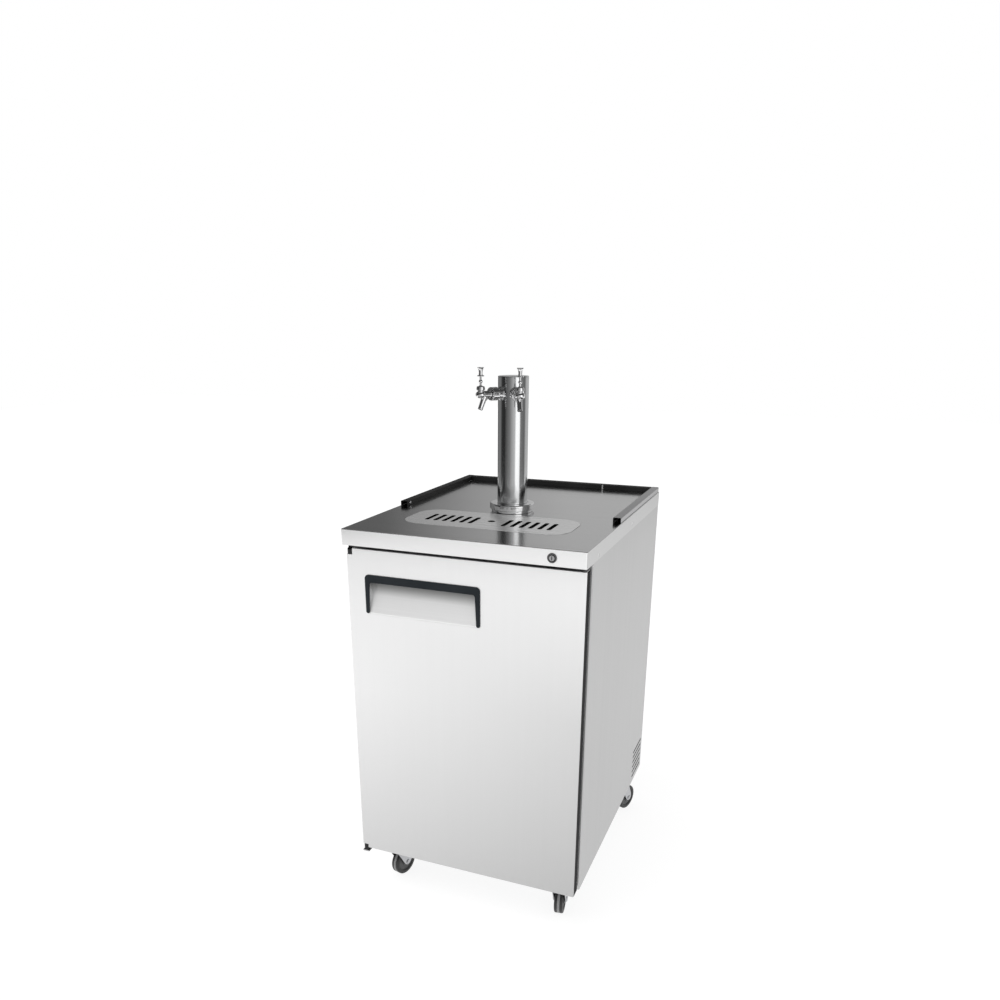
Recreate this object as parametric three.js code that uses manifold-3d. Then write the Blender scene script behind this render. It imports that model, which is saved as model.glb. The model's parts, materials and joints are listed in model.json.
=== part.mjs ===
// A two-tap draught beer cooler: a stainless cabinet on casters, a hinged door with a recessed handle,
// a worktop with a drip tray and guard rails, and a round column that carries two faucets.
// Millimetres. X runs to the right of someone who faces the door, Y to the back and Z up.
// The origin is on the floor, under the middle of the worktop.

import * as THREE from 'three';
import { mergeVertices } from 'three/addons/utils/BufferGeometryUtils.js';
import Module from 'manifold-3d';

const wasm = await Module();
wasm.setup();

// Cabinet

const worktopWidth = 600;
const worktopDepth = 762;
const worktopHeight = 1010;
const bandHeight = 38;
const worktopSheet = 1.5;
const worktopCornerRadius = 4;
const worktopEdgeRadius = 1.2;
const seatGap = 0.3;
const cornerGap = 0.7;
const cutOverrun = 2;
const frontSetback = 55.7;
const rearSetback = 6;
const sideInset = 0.6;
const baseHeight = 124.6;
const panelSheet = 1.2;
const panelFlange = 20;
const panelBend = 1.5;
const basePanSheet = 2;
const basePanLip = 14;

// Insulation, liner and front frame

const wallThickness = 46;
const ceilingThickness = 84;
const floorThickness = 48;
const linerSheet = 2;
const frameThickness = 3;
const stepDepth = 138;
const stepHeight = 132;
const headerSheet = 1.2;
const headerLip = 6;

// Louvres in the side panel and slots in the back panel, both beside the compressor

const louvreCount = 6;
const louvreLength = 108;
const louvreSlotHeight = 7;
const louvrePitch = 16.5;
const louvreRearMargin = 13;
const louvreBottomMargin = 16;
const louvreThrow = 6;
const ventRows = 4;
const ventColumns = 2;
const ventLength = 170;
const ventHeight = 6;
const ventPitchX = 210;
const ventPitchZ = 20;
const ventBottomMargin = 30;
const glandRadius = 9;
const glandLength = 7;
const glandBoreRadius = 3.6;
const glandInset = 59.4;
const glandRise = 26;

// Guard rails round the back of the worktop

const railHeight = 13;
const railWidth = 20;
const railSheet = 1.2;
const railBend = 1;
const railInset = 2.5;
const railFrontY = -78;

// Drip tray

const trayCentreY = -174;
const grilleLength = 426;
const grilleDepth = 172;
const grilleCornerRadius = 54;
const grilleSheet = 2;
const grilleEdgeGap = 1;
const grilleProud = 0.6;
const grilleSlotCount = 6;
const grilleSlotLength = 70;
const grilleSlotWidth = 8.6;
const grilleSlotPitch = 22.9;
const grilleInnerSlotX = 43;
const grilleSlotCentreY = -179.5;
const fingerHoleRadius = 9;
const panLedge = 8;
const panFlange = 9;
const panSheet = 1.2;
const panDepth = 26;
const drainOuterRadius = 9;
const drainBoreRadius = 5;
const drainLength = 14;
const drainShaftHalf = 20;

// Column

const towerY = -30;
const columnRadius = 38.1;
const columnWall = 1.5;
const columnHeadroom = 40;
const columnEdgeRadius = 3;
const capThickness = 3;
const flangeRadius = 57;
const flangeLowerRadius = 52.5;
const flangeLowerHeight = 7;
const flangeHeight = 22;
const flangeEdgeRadius = 3;
const beerLineHoleRadius = 27;

// Faucets, in their own frame: R is measured out from the column's axis, Z from the shank's axis

const shankHeight = 293;
const tapSpread = 58 * Math.PI / 180;
const shankRadius = 11;
const shankBoreRadius = 3.2;
const shankInner = 25;
const shankOuter = 57;
const shankTailInner = 13;
const shankTailRadius = 4.8;
const collarInner = 39.2;
const collarOuter = 54.5;
const collarRadius = 13.5;
const collarSeatRadius = 16;
const nutInner = 55;
const nutOuter = 73;
const nutRadius = 16;
const nutBoreRadius = 11.6;
const nutMouthRadius = 10;
const nutMouthLength = 5;
const nutNotchCount = 6;
const nutNotchWidth = 4;
const nutNotchDepth = 1.6;
const nutNotchLength = 9;
const bodyInner = 57.6;
const bodyFlangeRadius = 11.2;
const bodyFlangeLength = 9.6;
const bodyNeckRadius = 8.6;
const bodyBoreRadius = 5.8;
const bodyBoreEnd = 111;
const handleAxisR = 103;
const bulgeRadius = 12.2;
const bulgeHeight = 17;
const bulgeFootShare = 0.5;
const bulgeLowShare = 0.88;
const bulgeLowRiseShare = 0.32;
const bulgeHighShare = 0.92;
const bulgeHighRiseShare = 0.24;
const waistRadius = 7.2;
const waistHeight = 7.9;
const waistTopRadius = 9;
const pivotHeight = 14;
const bonnetRadius = 10.2;
const bonnetHeight = 8.6;
const bonnetDrop = 3.4;
const ballRadius = 7.6;
const ballGap = 0.4;
const ballWellRadius = 7;
const ballWellHeight = 6.2;
const ballNarrowRadius = 5.4;
const bonnetThroatRadius = 6.6;
const spoutTopR = 90;
const spoutTipR = 105;
const spoutTopZ = -4;
const spoutTipZ = -35;
const spoutTopRadius = 8;
const spoutTipRadius = 5.6;
const spoutWaistShare = 0.3;
const spoutWaistGrow = 1.04;
const spoutBoreRadius = 4;
const spoutWebThickness = 6;
const spoutWebReach = 17;
const spoutWebDrop = 13;
const leverNeckRadius = 2.6;
const leverKnobHeight = 16;
const leverKnobRadius = 4.6;
const leverCollarHeight = 27.5;
const leverCollarThickness = 3;
const leverCollarRadius = 8.4;
const leverCollarShare = 0.8;
const leverTipRadius = 2.8;
const leverTipNeckRadius = 1.5;
const leverStudLength = 11;
const handleFootRadius = 4.9;
const handleTopRadius = 8.2;
const handleLength = 17.6;
const handleWaistRadius = 4.4;
const handleWaistShare = 0.25;
const handleMiddleShare = 0.55;
const handleRimShare = 0.94;
const handleEdgeShare = 0.97;
const plungerInner = 72;
const plungerOuter = 109;
const plungerRadius = 5.3;
const plungerNeckRadius = 3.2;
const plungerNeckInner = 76;
const plungerNeckOuter = 92;
const plungerSlotHalf = 3.3;
const plungerSlotFloor = 3.4;
const plungerFlatHalf = 5.4;
const plungerFlatHeight = 1.8;

// Door

const doorInset = 3.3;
const doorRecess = 15;
const doorTopGap = 9.8;
const doorBottomDrop = 3.7;
const doorSkinDepth = 26;
const doorSheet = 1;
const doorEdgeRadius = 1.2;
const doorCornerRadius = 3;
const doorFlangeThickness = 4;
const dikeInset = 46;
const dikeHeight = 16;
const dikeWidth = 22;
const dikeDish = 9;
const gasketInset = 8.7;
const gasketWidth = 26;
const gasketBaseThickness = 2.4;
const gasketWaistWidth = 12;
const gasketMagnetWidth = 20;
const gasketMagnetThickness = 3.6;

// Handle

const trimEdgeGap = 47.7;
const trimWidth = 298;
const trimHeight = 97;
const trimDropFromDoorTop = 61.4;
const trimBarHeight = 19;
const trimLegTopWidth = 13;
const trimLegTipWidth = 9.5;
const trimCornerRadius = 9;
const trimThickness = 2.4;
const pocketSideCover = 6;
const pocketTopCover = 9;
const pocketDepth = 20;
const pocketTopLength = 7;
const pocketWall = 1;
const pocketLip = 3;
const pocketBottomRise = 2.5;

// Hinges

const hingeInset = 7.7;
const hingeSetback = 8;
const hingePinRadius = 4;
const hingeClearance = 0.35;
const hingePlate = 4;
const upperPlateReach = 27;
const lowerPlateWidth = 18;
const bushRadius = 8;
const upperBushTip = 3.4;
const upperBushLength = 21;
const upperBushStraight = 5;
const upperPinLength = 15;
const lowerBushLength = 19;
const lowerPinLength = 16;
const lowerPlateDrop = 8;
const lowerPlateLeg = 42;
const lowerPlateFootReach = 22.3;
const hingeRunningGap = 0.4;
const upperPlateFrontGap = 1.7;

// Lock in the worktop's front band

const lockEdgeGap = 78;
const lockDrop = 19.6;
const lockRingRadius = 11;
const lockRingInnerRadius = 7;
const lockRingProud = 2;
const lockBodyRadius = 9;
const lockBodyLength = 24;
const lockPlugRadius = 6.6;
const lockPlugProud = 1;
const lockKeyWidth = 1.6;
const lockKeyLength = 8;
const lockKeyDepth = 3;
const lockCamLength = 24;
const lockCamWidth = 12;
const lockCamThickness = 2.5;
const lockCamGap = 1;
const lockSlotClearance = 2.5;

// Casters

const casterFrontInset = 61.4;
const casterRearInset = 41.4;
const casterFrontReach = 31.3;
const casterRearReach = 90;
const casterPlateSize = 56;
const casterPlateThickness = 3;
const casterPlateCorner = 8;
const casterBoltOffset = 21;
const casterBoltRadius = 3.6;
const raceRadius = 24;
const raceHeight = 9;
const raceTaper = 4;
const forkCrownRadius = 22;
const forkCrownThickness = 3;
const forkGap = 1;
const forkInnerWidth = 29;
const forkSheet = 2.5;
const forkTopLength = 40;
const forkTipRadius = 12;
const casterTrail = 31;
const wheelRadius = 38.1;
const wheelWidth = 24;
const wheelHubRadius = 13;
const wheelHubWidth = 27;
const wheelDish = 3;
const wheelTreadRadius = 3.5;
const wheelBoreRadius = 4.6;
const axleRadius = 4;
const axleHeadRadius = 7;
const axleHeadLength = 3;
const brakeAngle = -4 * Math.PI / 180;
const brakePivotRise = 33;
const brakePivotBack = 31;
const brakePedalLength = 34;
const brakePedalWidth = 27;
const brakePedalThickness = 4;
const brakePivotRadius = 4;
const brakePinRadius = 2.4;
const brakeClearance = 0.4;
const brakeCheekReach = 8;
const frontLeftTurn = 14 * Math.PI / 180;
const frontRightTurn = -8 * Math.PI / 180;
const rearRightTurn = 20 * Math.PI / 180;
const rearLeftTurn = 8 * Math.PI / 180;

// Inside the cabinet and the compressor bay

const evaporatorWidth = 380;
const evaporatorHeight = 118;
const evaporatorDepth = 96;
const evaporatorSheet = 2;
const evaporatorRearGap = 4;
const fanRadius = 46;
const fanHubRadius = 15;
const fanHubLength = 16;
const fanBladeCount = 5;
const fanBladeChord = 20;
const fanBladeThickness = 2;
const fanBladePitch = 28 * Math.PI / 180;
const fanOpeningRadius = 50;
const fanShaftRadius = 3;
const fanShaftClearance = 0.3;
const fanMotorRadius = 20;
const fanMotorLength = 34;
const evaporatorSlotCount = 6;
const evaporatorSlotLength = 46;
const evaporatorSlotHeight = 5;
const evaporatorSlotPitch = 12;
const evaporatorSlotX = 130;
const knobRadius = 17;
const knobLength = 15;
const knobEdgeGap = 70;
const knobShaftRadius = 3;
const knobShaftLength = 8;
const knobGrooves = 8;
const knobGrooveRadius = 1.6;
const compressorInset = 147.5;
const compressorRadius = 54;
const compressorHeight = 104;
const compressorSeam = 3;
const compressorSeamHeight = 6;
const shellFootShare = 0.76;
const shellSwellShare = 0.22;
const shellShoulderShare = 0.72;
const shellCrownShare = 0.82;
const shellCrownRiseShare = 0.92;
const shellTopShare = 0.45;
const compressorFootSpan = 74;
const compressorFootRadius = 10;
const compressorFootHeight = 12;
const compressorPlate = 3;
const condenserInset = 45.5;
const condenserWidth = 44;
const condenserDepth = 104;
const condenserHeight = 106;
const condenserFins = 7;
const condenserFinThickness = 1.4;
const condenserTubeRadius = 4;
const condenserFanGap = 22;
const condenserBracketWidth = 30;

// Facets and colours

const fullRound = 36;
const wheelRound = 24;
const mediumRound = 16;
const smallRound = 12;
const tinyRound = 8;
const cornerSteps = 2;
const trayCornerSteps = 3;
const slotSteps = 1;
const bendSteps = 2;
const steelColour = 0xd3d6d8;
const worktopColour = 0xa3a6a8;
const chromeColour = 0xe2e5e8;
const frameColour = 0x2a2d30;
const trimColour = 0x232a2f;
const linerColour = 0xe9ebec;
const foamColour = 0xe7dfae;
const rubberColour = 0x17181a;
const tyreColour = 0x2b2c2e;
const zincColour = 0xb9bcc0;
const paintedBlack = 0x1c1d1f;
const copperColour = 0xb98056;

// Derived places that several pieces share

const worktopFront = -worktopDepth / 2;
const worktopRear = worktopDepth / 2;
const bandBottom = worktopHeight - bandHeight;
const sideFace = worktopWidth / 2 - sideInset;
const cabinetFront = worktopFront + frontSetback;
const cabinetRear = worktopRear - rearSetback;
const panelTop = bandBottom - seatGap;
const insideFace = sideFace - panelSheet - cornerGap;
const baseTop = baseHeight + basePanSheet;
const foamFront = cabinetFront + frameThickness + seatGap;
const foamRear = cabinetRear - panelSheet - cornerGap;
const foamBottom = baseTop + seatGap;
const foamTop = worktopHeight - worktopSheet - seatGap;
const cavityHalf = insideFace - wallThickness;
const cavityFloor = foamBottom + floorThickness;
const cavityTop = foamTop - ceilingThickness;
const cavityRear = foamRear - wallThickness;
const stepTop = foamBottom + stepHeight;
const stepFront = foamRear - stepDepth;
const linerTop = cavityTop - seatGap - linerSheet;
const doorFront = worktopFront + doorRecess;
const doorHalf = worktopWidth / 2 - doorInset;
const doorTop = bandBottom - doorTopGap;
const doorBottom = baseHeight + doorBottomDrop;
const doorHeight = doorTop - doorBottom;
const doorMiddle = (doorTop + doorBottom) / 2;
const doorSkinRear = doorFront + doorSkinDepth;
const doorFlangeRear = doorSkinRear + doorFlangeThickness;
const hingeY = doorFront + hingeSetback;
const trimTop = doorTop - trimDropFromDoorTop;
const trimBottom = trimTop - trimHeight;
const columnHeight = shankHeight + columnHeadroom;
const columnTop = worktopHeight + columnHeight;
const trimCentreX = -doorHalf + trimEdgeGap + trimWidth / 2;
const hingeX = -doorHalf + hingeInset;
const lowerPlateFootY = cabinetFront + lowerPlateFootReach;
const upperPlateRear = cabinetFront - upperPlateFrontGap;
const lockX = worktopWidth / 2 - lockEdgeGap;
const glandX = -sideFace + glandInset;
const casterFrontX = sideFace - casterFrontInset;
const casterRearX = sideFace - casterRearInset;
const casterFrontY = cabinetFront + casterFrontReach;
const casterRearY = cabinetRear - casterRearReach;
const knobX = -evaporatorWidth / 2 + knobEdgeGap;
const compressorX = -insideFace + compressorInset;
const condenserX = insideFace - condenserInset - condenserWidth;
const openingCentre = new THREE.Vector3(0, 0, 0);

// Tools: closed solids from three.js geometry, joined and cut with manifold-3d

function solid(geometry) {
  const bare = geometry.index ? geometry.toNonIndexed() : geometry.clone();
  for (const name of Object.keys(bare.attributes)) {
    if (name !== 'position') bare.deleteAttribute(name);
  }
  const merged = mergeVertices(bare, 1e-4);
  return new wasm.Manifold(new wasm.Mesh({
    numProp: 3,
    vertProperties: new Float32Array(merged.attributes.position.array),
    triVerts: new Uint32Array(merged.index.array),
  }));
}

function geometryOf(body) {
  const raw = body.getMesh();
  const geometry = new THREE.BufferGeometry();
  const points = new Float32Array(raw.numVert * 3);
  for (let i = 0; i < raw.numVert; i += 1) {
    for (let k = 0; k < 3; k += 1) points[i * 3 + k] = raw.vertProperties[i * raw.numProp + k];
  }
  geometry.setAttribute('position', new THREE.BufferAttribute(points, 3));
  geometry.setIndex(new THREE.BufferAttribute(new Uint32Array(raw.triVerts), 1));
  const flat = geometry.toNonIndexed();
  flat.computeVertexNormals();
  return flat;
}

function moved(body, matrix) {
  return body.transform(matrix.elements);
}

function shifted(body, x, y, z) {
  return moved(body, new THREE.Matrix4().makeTranslation(x, y, z));
}

function union(...bodies) {
  return bodies.reduce((all, next) => all.add(next));
}

function cut(body, ...cutters) {
  return cutters.reduce((left, next) => left.subtract(next), body);
}

function box(x0, x1, y0, y1, z0, z1) {
  const geometry = new THREE.BoxGeometry(x1 - x0, y1 - y0, z1 - z0);
  geometry.translate((x0 + x1) / 2, (y0 + y1) / 2, (z0 + z1) / 2);
  return solid(geometry);
}

function shapeOf(points) {
  return new THREE.Shape(points.map(([u, v]) => new THREE.Vector2(u, v)));
}

function extruded(shape, length, steps = cornerSteps) {
  return new THREE.ExtrudeGeometry(shape, { depth: length, bevelEnabled: false, curveSegments: steps });
}

// A shape drawn in X and Y, raised from z0 to z1.
function raised(shape, z0, z1, steps) {
  const geometry = extruded(shape, z1 - z0, steps);
  geometry.translate(0, 0, z0);
  return solid(geometry);
}

// A shape drawn in Y and Z, run along X from x0 to x1.
function runX(shape, x0, x1, steps) {
  const geometry = extruded(shape, x1 - x0, steps);
  const basis = new THREE.Matrix4().makeBasis(
    new THREE.Vector3(0, 1, 0),
    new THREE.Vector3(0, 0, 1),
    new THREE.Vector3(1, 0, 0),
  );
  geometry.applyMatrix4(basis.setPosition(x0, 0, 0));
  return solid(geometry);
}

// A shape drawn in X and Z, run along Y from y0 to y1.
function runY(shape, y0, y1, steps) {
  const geometry = extruded(shape, y1 - y0, steps);
  const basis = new THREE.Matrix4().makeBasis(
    new THREE.Vector3(1, 0, 0),
    new THREE.Vector3(0, 0, 1),
    new THREE.Vector3(0, -1, 0),
  );
  geometry.applyMatrix4(basis.setPosition(0, y1, 0));
  return solid(geometry);
}

function roundedRectangle(u0, u1, v0, v1, radius) {
  const shape = new THREE.Shape();
  shape.moveTo(u0 + radius, v0);
  shape.lineTo(u1 - radius, v0);
  shape.absarc(u1 - radius, v0 + radius, radius, -Math.PI / 2, 0, false);
  shape.lineTo(u1, v1 - radius);
  shape.absarc(u1 - radius, v1 - radius, radius, 0, Math.PI / 2, false);
  shape.lineTo(u0 + radius, v1);
  shape.absarc(u0 + radius, v1 - radius, radius, Math.PI / 2, Math.PI, false);
  shape.lineTo(u0, v0 + radius);
  shape.absarc(u0 + radius, v0 + radius, radius, Math.PI, Math.PI * 3 / 2, false);
  return shape;
}

// A block whose outline corners are rounded and whose two end edges are eased by a bevel.
function easedBlock(shape, length, edge) {
  return new THREE.ExtrudeGeometry(shape, {
    depth: length - 2 * edge,
    bevelEnabled: true,
    bevelThickness: edge,
    bevelSize: edge,
    bevelOffset: -edge,
    bevelSegments: 1,
    curveSegments: cornerSteps,
  }).translate(0, 0, edge);
}

// A profile of [radius, height] pairs turned about the Z axis.
function turned(profile, segments = mediumRound) {
  const points = profile.map(([r, h]) => new THREE.Vector2(r, h));
  const geometry = new THREE.LatheGeometry(points, segments);
  geometry.rotateX(Math.PI / 2);
  return solid(geometry);
}

function ring(outer, inner, z0, z1, segments = mediumRound) {
  return turned([[inner, z0], [outer, z0], [outer, z1], [inner, z1], [inner, z0]], segments);
}

function disc(radius, z0, z1, segments = mediumRound) {
  return turned([[0, z0], [radius, z0], [radius, z1], [0, z1]], segments);
}

// The same turned pieces about an axis that runs along X or Y.
function alongX(body) {
  return moved(body, new THREE.Matrix4().makeRotationY(Math.PI / 2));
}

function alongY(body) {
  return moved(body, new THREE.Matrix4().makeRotationX(-Math.PI / 2));
}

// A quarter round of the given radius, as [radius, height] pairs from the side wall to the top.
function easedRim(radius, height, edge, steps = bendSteps) {
  const points = [];
  for (let i = 0; i <= steps; i += 1) {
    const a = (i / steps) * Math.PI / 2;
    points.push([radius - edge + edge * Math.cos(a), height - edge + edge * Math.sin(a)]);
  }
  return points;
}

// Points of a circle about the turning axis, as [radius, height] pairs from one angle to another.
function arc(radius, centre, from, to, steps) {
  const points = [];
  for (let i = 0; i <= steps; i += 1) {
    const a = from + (to - from) * i / steps;
    points.push([radius * Math.cos(a), centre + radius * Math.sin(a)]);
  }
  return points;
}

// The section of a sheet that is folded along a path: corners of the path get the inner bend radius.
function foldedSheet(path, sheet, bend) {
  const middle = path.map(([u, v]) => new THREE.Vector2(u, v));
  const reach = bend + sheet / 2;
  const samples = [];
  const normalOf = (a, b) => {
    const d = b.clone().sub(a).normalize();
    return new THREE.Vector2(-d.y, d.x);
  };
  samples.push([middle[0], normalOf(middle[0], middle[1])]);
  for (let i = 1; i < middle.length - 1; i += 1) {
    const before = normalOf(middle[i - 1], middle[i]);
    const after = normalOf(middle[i], middle[i + 1]);
    const turn = Math.sign(before.x * after.y - before.y * after.x);
    const half = Math.acos(THREE.MathUtils.clamp(before.dot(after), -1, 1)) / 2;
    const back = middle[i - 1].clone().sub(middle[i]).normalize().multiplyScalar(reach * Math.tan(half));
    const centre = middle[i].clone().add(back).addScaledVector(before, turn * reach);
    for (let k = 0; k <= bendSteps; k += 1) {
      const normal = before.clone().rotateAround(openingCentre, turn * 2 * half * k / bendSteps);
      samples.push([centre.clone().addScaledVector(normal, -turn * reach), normal]);
    }
  }
  const last = middle.length - 1;
  samples.push([middle[last], normalOf(middle[last - 1], middle[last])]);
  const left = samples.map(([p, n]) => p.clone().addScaledVector(n, sheet / 2));
  const right = samples.map(([p, n]) => p.clone().addScaledVector(n, -sheet / 2)).reverse();
  return new THREE.Shape([...right, ...left]);
}

const root = new THREE.Group();

function material(color, metalness, roughness) {
  return new THREE.MeshStandardMaterial({ color, metalness, roughness });
}

function add(name, body, finish, parent = root) {
  const mesh = new THREE.Mesh(geometryOf(body), finish.clone());
  mesh.name = name;
  parent.add(mesh);
  return mesh;
}

const brushedSteel = material(steelColour, 1, 0.35);
const worktopSteel = material(worktopColour, 1, 0.3);
const chrome = material(chromeColour, 1, 0.08);
const zinc = material(zincColour, 1, 0.3);
const blackPlastic = material(trimColour, 0, 0.45);
const darkFrame = material(frameColour, 0, 0.5);
const linerPlastic = material(linerColour, 0, 0.4);
const foam = material(foamColour, 0, 0.9);
const rubber = material(rubberColour, 0, 0.8);
const tyre = material(tyreColour, 0, 0.6);
const blackPaint = material(paintedBlack, 0.2, 0.45);
const finMetal = material(copperColour, 0.9, 0.4);

// Base pan: a floor with a lip folded up at the front and at the back

const panMiddle = baseHeight + basePanSheet / 2;
const panFront = foamFront + basePanSheet / 2 + seatGap;
const panRear = foamRear - basePanSheet / 2;
const basePanSection = foldedSheet([
  [panFront - frameThickness, panMiddle],
  [panRear, panMiddle],
  [panRear, panMiddle + basePanLip],
], basePanSheet, panelBend);
add('base_pan', runX(basePanSection, -insideFace, insideFace), zinc);

// Side panels: a sheet folded inwards at the front and at the back. The right one has the louvres.

function sidePanel() {
  const middle = sideFace - panelSheet / 2;
  const front = cabinetFront + panelSheet / 2;
  const rear = cabinetRear - panelSheet / 2;
  const section = foldedSheet([
    [sideFace - panelFlange, front],
    [middle, front],
    [middle, rear],
    [sideFace - panelFlange, rear],
  ], panelSheet, panelBend);
  return raised(section, baseHeight, panelTop);
}

const mirrorX = new THREE.Matrix4().makeScale(-1, 1, 1);
add('left_side_panel', moved(sidePanel(), mirrorX), brushedSteel);

const louvreRear = cabinetRear - louvreRearMargin;
const louvreFront = louvreRear - louvreLength;
let louvredPanel = sidePanel();
for (let i = 0; i < louvreCount; i += 1) {
  const low = baseHeight + louvreBottomMargin + i * louvrePitch;
  const high = low + louvreSlotHeight;
  const slot = roundedRectangle(louvreFront, louvreRear, low, high, louvreSlotHeight / 2);
  louvredPanel = louvredPanel.subtract(
    runX(slot, sideFace - panelSheet - cutOverrun, sideFace + cutOverrun, slotSteps),
  );
  const skin = sideFace - panelSheet / 2;
  const blade = shapeOf([
    [skin - panelSheet / 2, high],
    [skin + panelSheet / 2, high],
    [skin + panelSheet / 2, high + panelSheet],
    [skin - panelSheet / 2, high + panelSheet],
    [skin - louvreThrow, low + panelSheet],
    [skin - louvreThrow, low],
  ]);
  const inset = louvreSlotHeight / 2;
  louvredPanel = louvredPanel.add(runY(blade, louvreFront + inset, louvreRear - inset));
}
add('right_side_panel', louvredPanel, brushedSteel);

// Back panel, screwed over the flanges, with air slots and the gland where the supply cord leaves

const backFront = cabinetRear + seatGap;
const backRear = backFront + panelSheet;
let backPanel = box(-sideFace, sideFace, backFront, backRear, baseHeight, panelTop);
for (let row = 0; row < ventRows; row += 1) {
  for (let column = 0; column < ventColumns; column += 1) {
    const x = (column - (ventColumns - 1) / 2) * ventPitchX;
    const z = baseHeight + ventBottomMargin + row * ventPitchZ;
    const slot = roundedRectangle(x - ventLength / 2, x + ventLength / 2, z, z + ventHeight, ventHeight / 2);
    backPanel = backPanel.subtract(runY(slot, backFront - cutOverrun, backRear + cutOverrun, slotSteps));
  }
}
const gland = shifted(alongY(union(
  disc(glandRadius, 0, panelSheet + glandLength, smallRound),
)), glandX, backFront, baseHeight + glandRise);
const glandBore = shifted(alongY(
  disc(glandBoreRadius, -cutOverrun, panelSheet + glandLength + cutOverrun, smallRound),
), glandX, backFront, baseHeight + glandRise);
backPanel = cut(union(backPanel, gland), glandBore);
add('back_panel', backPanel, zinc);

// Insulation: one foamed mass with a step over the compressor bay, a recess for the drip pan and two
// square shafts, for the beer lines and the drain, and the liner inside it

function trayOutline(grow) {
  const halfLength = grilleLength / 2 + grow;
  const halfDepth = grilleDepth / 2 + grow;
  return roundedRectangle(
    -halfLength, halfLength, trayCentreY - halfDepth, trayCentreY + halfDepth, grilleCornerRadius + grow,
  );
}

const panFlangeTop = worktopHeight - worktopSheet - seatGap;
const panFlangeBottom = panFlangeTop - panSheet;
const panFloorTop = panFlangeBottom - panDepth + panSheet;
const panFloorBottom = panFloorTop - panSheet;
const foamSplit = panFloorBottom - seatGap;
const shaftBottom = cavityTop - linerSheet - cutOverrun;

const foamOuter = shapeOf([
  [foamFront, foamBottom],
  [stepFront, foamBottom],
  [stepFront, stepTop],
  [foamRear, stepTop],
  [foamRear, foamTop],
  [foamFront, foamTop],
]);

function cavitySection(front, inset) {
  return shapeOf([
    [front, cavityFloor + inset],
    [stepFront - wallThickness - inset, cavityFloor + inset],
    [stepFront - wallThickness - inset, stepTop + wallThickness + inset],
    [cavityRear - inset, stepTop + wallThickness + inset],
    [cavityRear - inset, cavityTop - inset],
    [front, cavityTop - inset],
  ]);
}

function shaft(half, y, top) {
  return box(-half, half, y - half, y + half, shaftBottom, top + cutOverrun);
}

const towerHole = shifted(
  disc(beerLineHoleRadius, shaftBottom, worktopHeight + cutOverrun, mediumRound), 0, towerY, 0,
);
const drainClear = shifted(
  disc(drainOuterRadius + seatGap, shaftBottom, foamTop, smallRound), 0, trayCentreY, 0,
);
const insulation = cut(
  runX(foamOuter, -insideFace, insideFace),
  runX(cavitySection(foamFront - cutOverrun, 0), -cavityHalf, cavityHalf),
  shaft(beerLineHoleRadius, towerY, foamTop),
  shaft(drainShaftHalf, trayCentreY, foamSplit),
  raised(trayOutline(seatGap - panLedge), foamSplit, foamTop + cutOverrun, trayCornerSteps),
  raised(
    trayOutline(panFlange + seatGap), panFlangeBottom - seatGap, foamTop + cutOverrun, trayCornerSteps,
  ),
);
add('insulation', insulation, foam);

const linerOuter = runX(cavitySection(foamFront, seatGap), -cavityHalf + seatGap, cavityHalf - seatGap);
const linerInner = runX(
  cavitySection(foamFront - cutOverrun, seatGap + linerSheet),
  -cavityHalf + seatGap + linerSheet,
  cavityHalf - seatGap - linerSheet,
);
add('liner', cut(linerOuter, linerInner, towerHole, drainClear), linerPlastic);

// Front frame round the opening, with the header that closes the worktop's overhang from below

const frameHalf = sideFace - panelFlange - seatGap;
const frameBottom = baseTop + seatGap;
const frameOuter = roundedRectangle(-frameHalf, frameHalf, frameBottom, panelTop, headerSheet);
const frameHole = roundedRectangle(
  -cavityHalf + seatGap + linerSheet,
  cavityHalf - seatGap - linerSheet,
  cavityFloor + seatGap + linerSheet,
  linerTop,
  doorCornerRadius,
);
frameOuter.holes.push(frameHole);
const frontFrame = runY(frameOuter, cabinetFront, cabinetFront + frameThickness);
const headerMiddle = bandBottom + headerSheet / 2;
const headerFront = worktopFront + worktopSheet + seatGap + headerSheet / 2;
const headerSection = foldedSheet([
  [headerFront, headerMiddle + headerLip],
  [headerFront, headerMiddle],
  [cabinetFront + headerSheet / 2, headerMiddle],
  [cabinetFront + headerSheet / 2, foamTop],
], headerSheet, panelBend);
const headerHalf = worktopWidth / 2 - worktopCornerRadius;
const headerJoin = box(-frameHalf, frameHalf, cabinetFront, cabinetFront + frameThickness,
  panelTop - frameThickness, bandBottom + frameThickness);
const lockZ = worktopHeight - lockDrop;
const lockCamY = worktopFront + worktopSheet + lockBodyLength + lockCamGap + lockCamThickness / 2;
const camSlot = box(
  lockX - lockCamWidth / 2 - lockSlotClearance,
  lockX + lockCamLength + lockSlotClearance,
  lockCamY - lockCamThickness / 2 - lockSlotClearance,
  lockCamY + lockCamThickness / 2 + lockSlotClearance,
  bandBottom - cutOverrun,
  bandBottom + headerSheet + cutOverrun,
);
const frontFrameBody = cut(
  union(frontFrame, headerJoin, runX(headerSection, -headerHalf, headerHalf)),
  camSlot,
);
add('front_frame', frontFrameBody, darkFrame);

// Worktop: a folded steel tray turned upside down, cut out for the drip tray, the column and the lock

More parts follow.
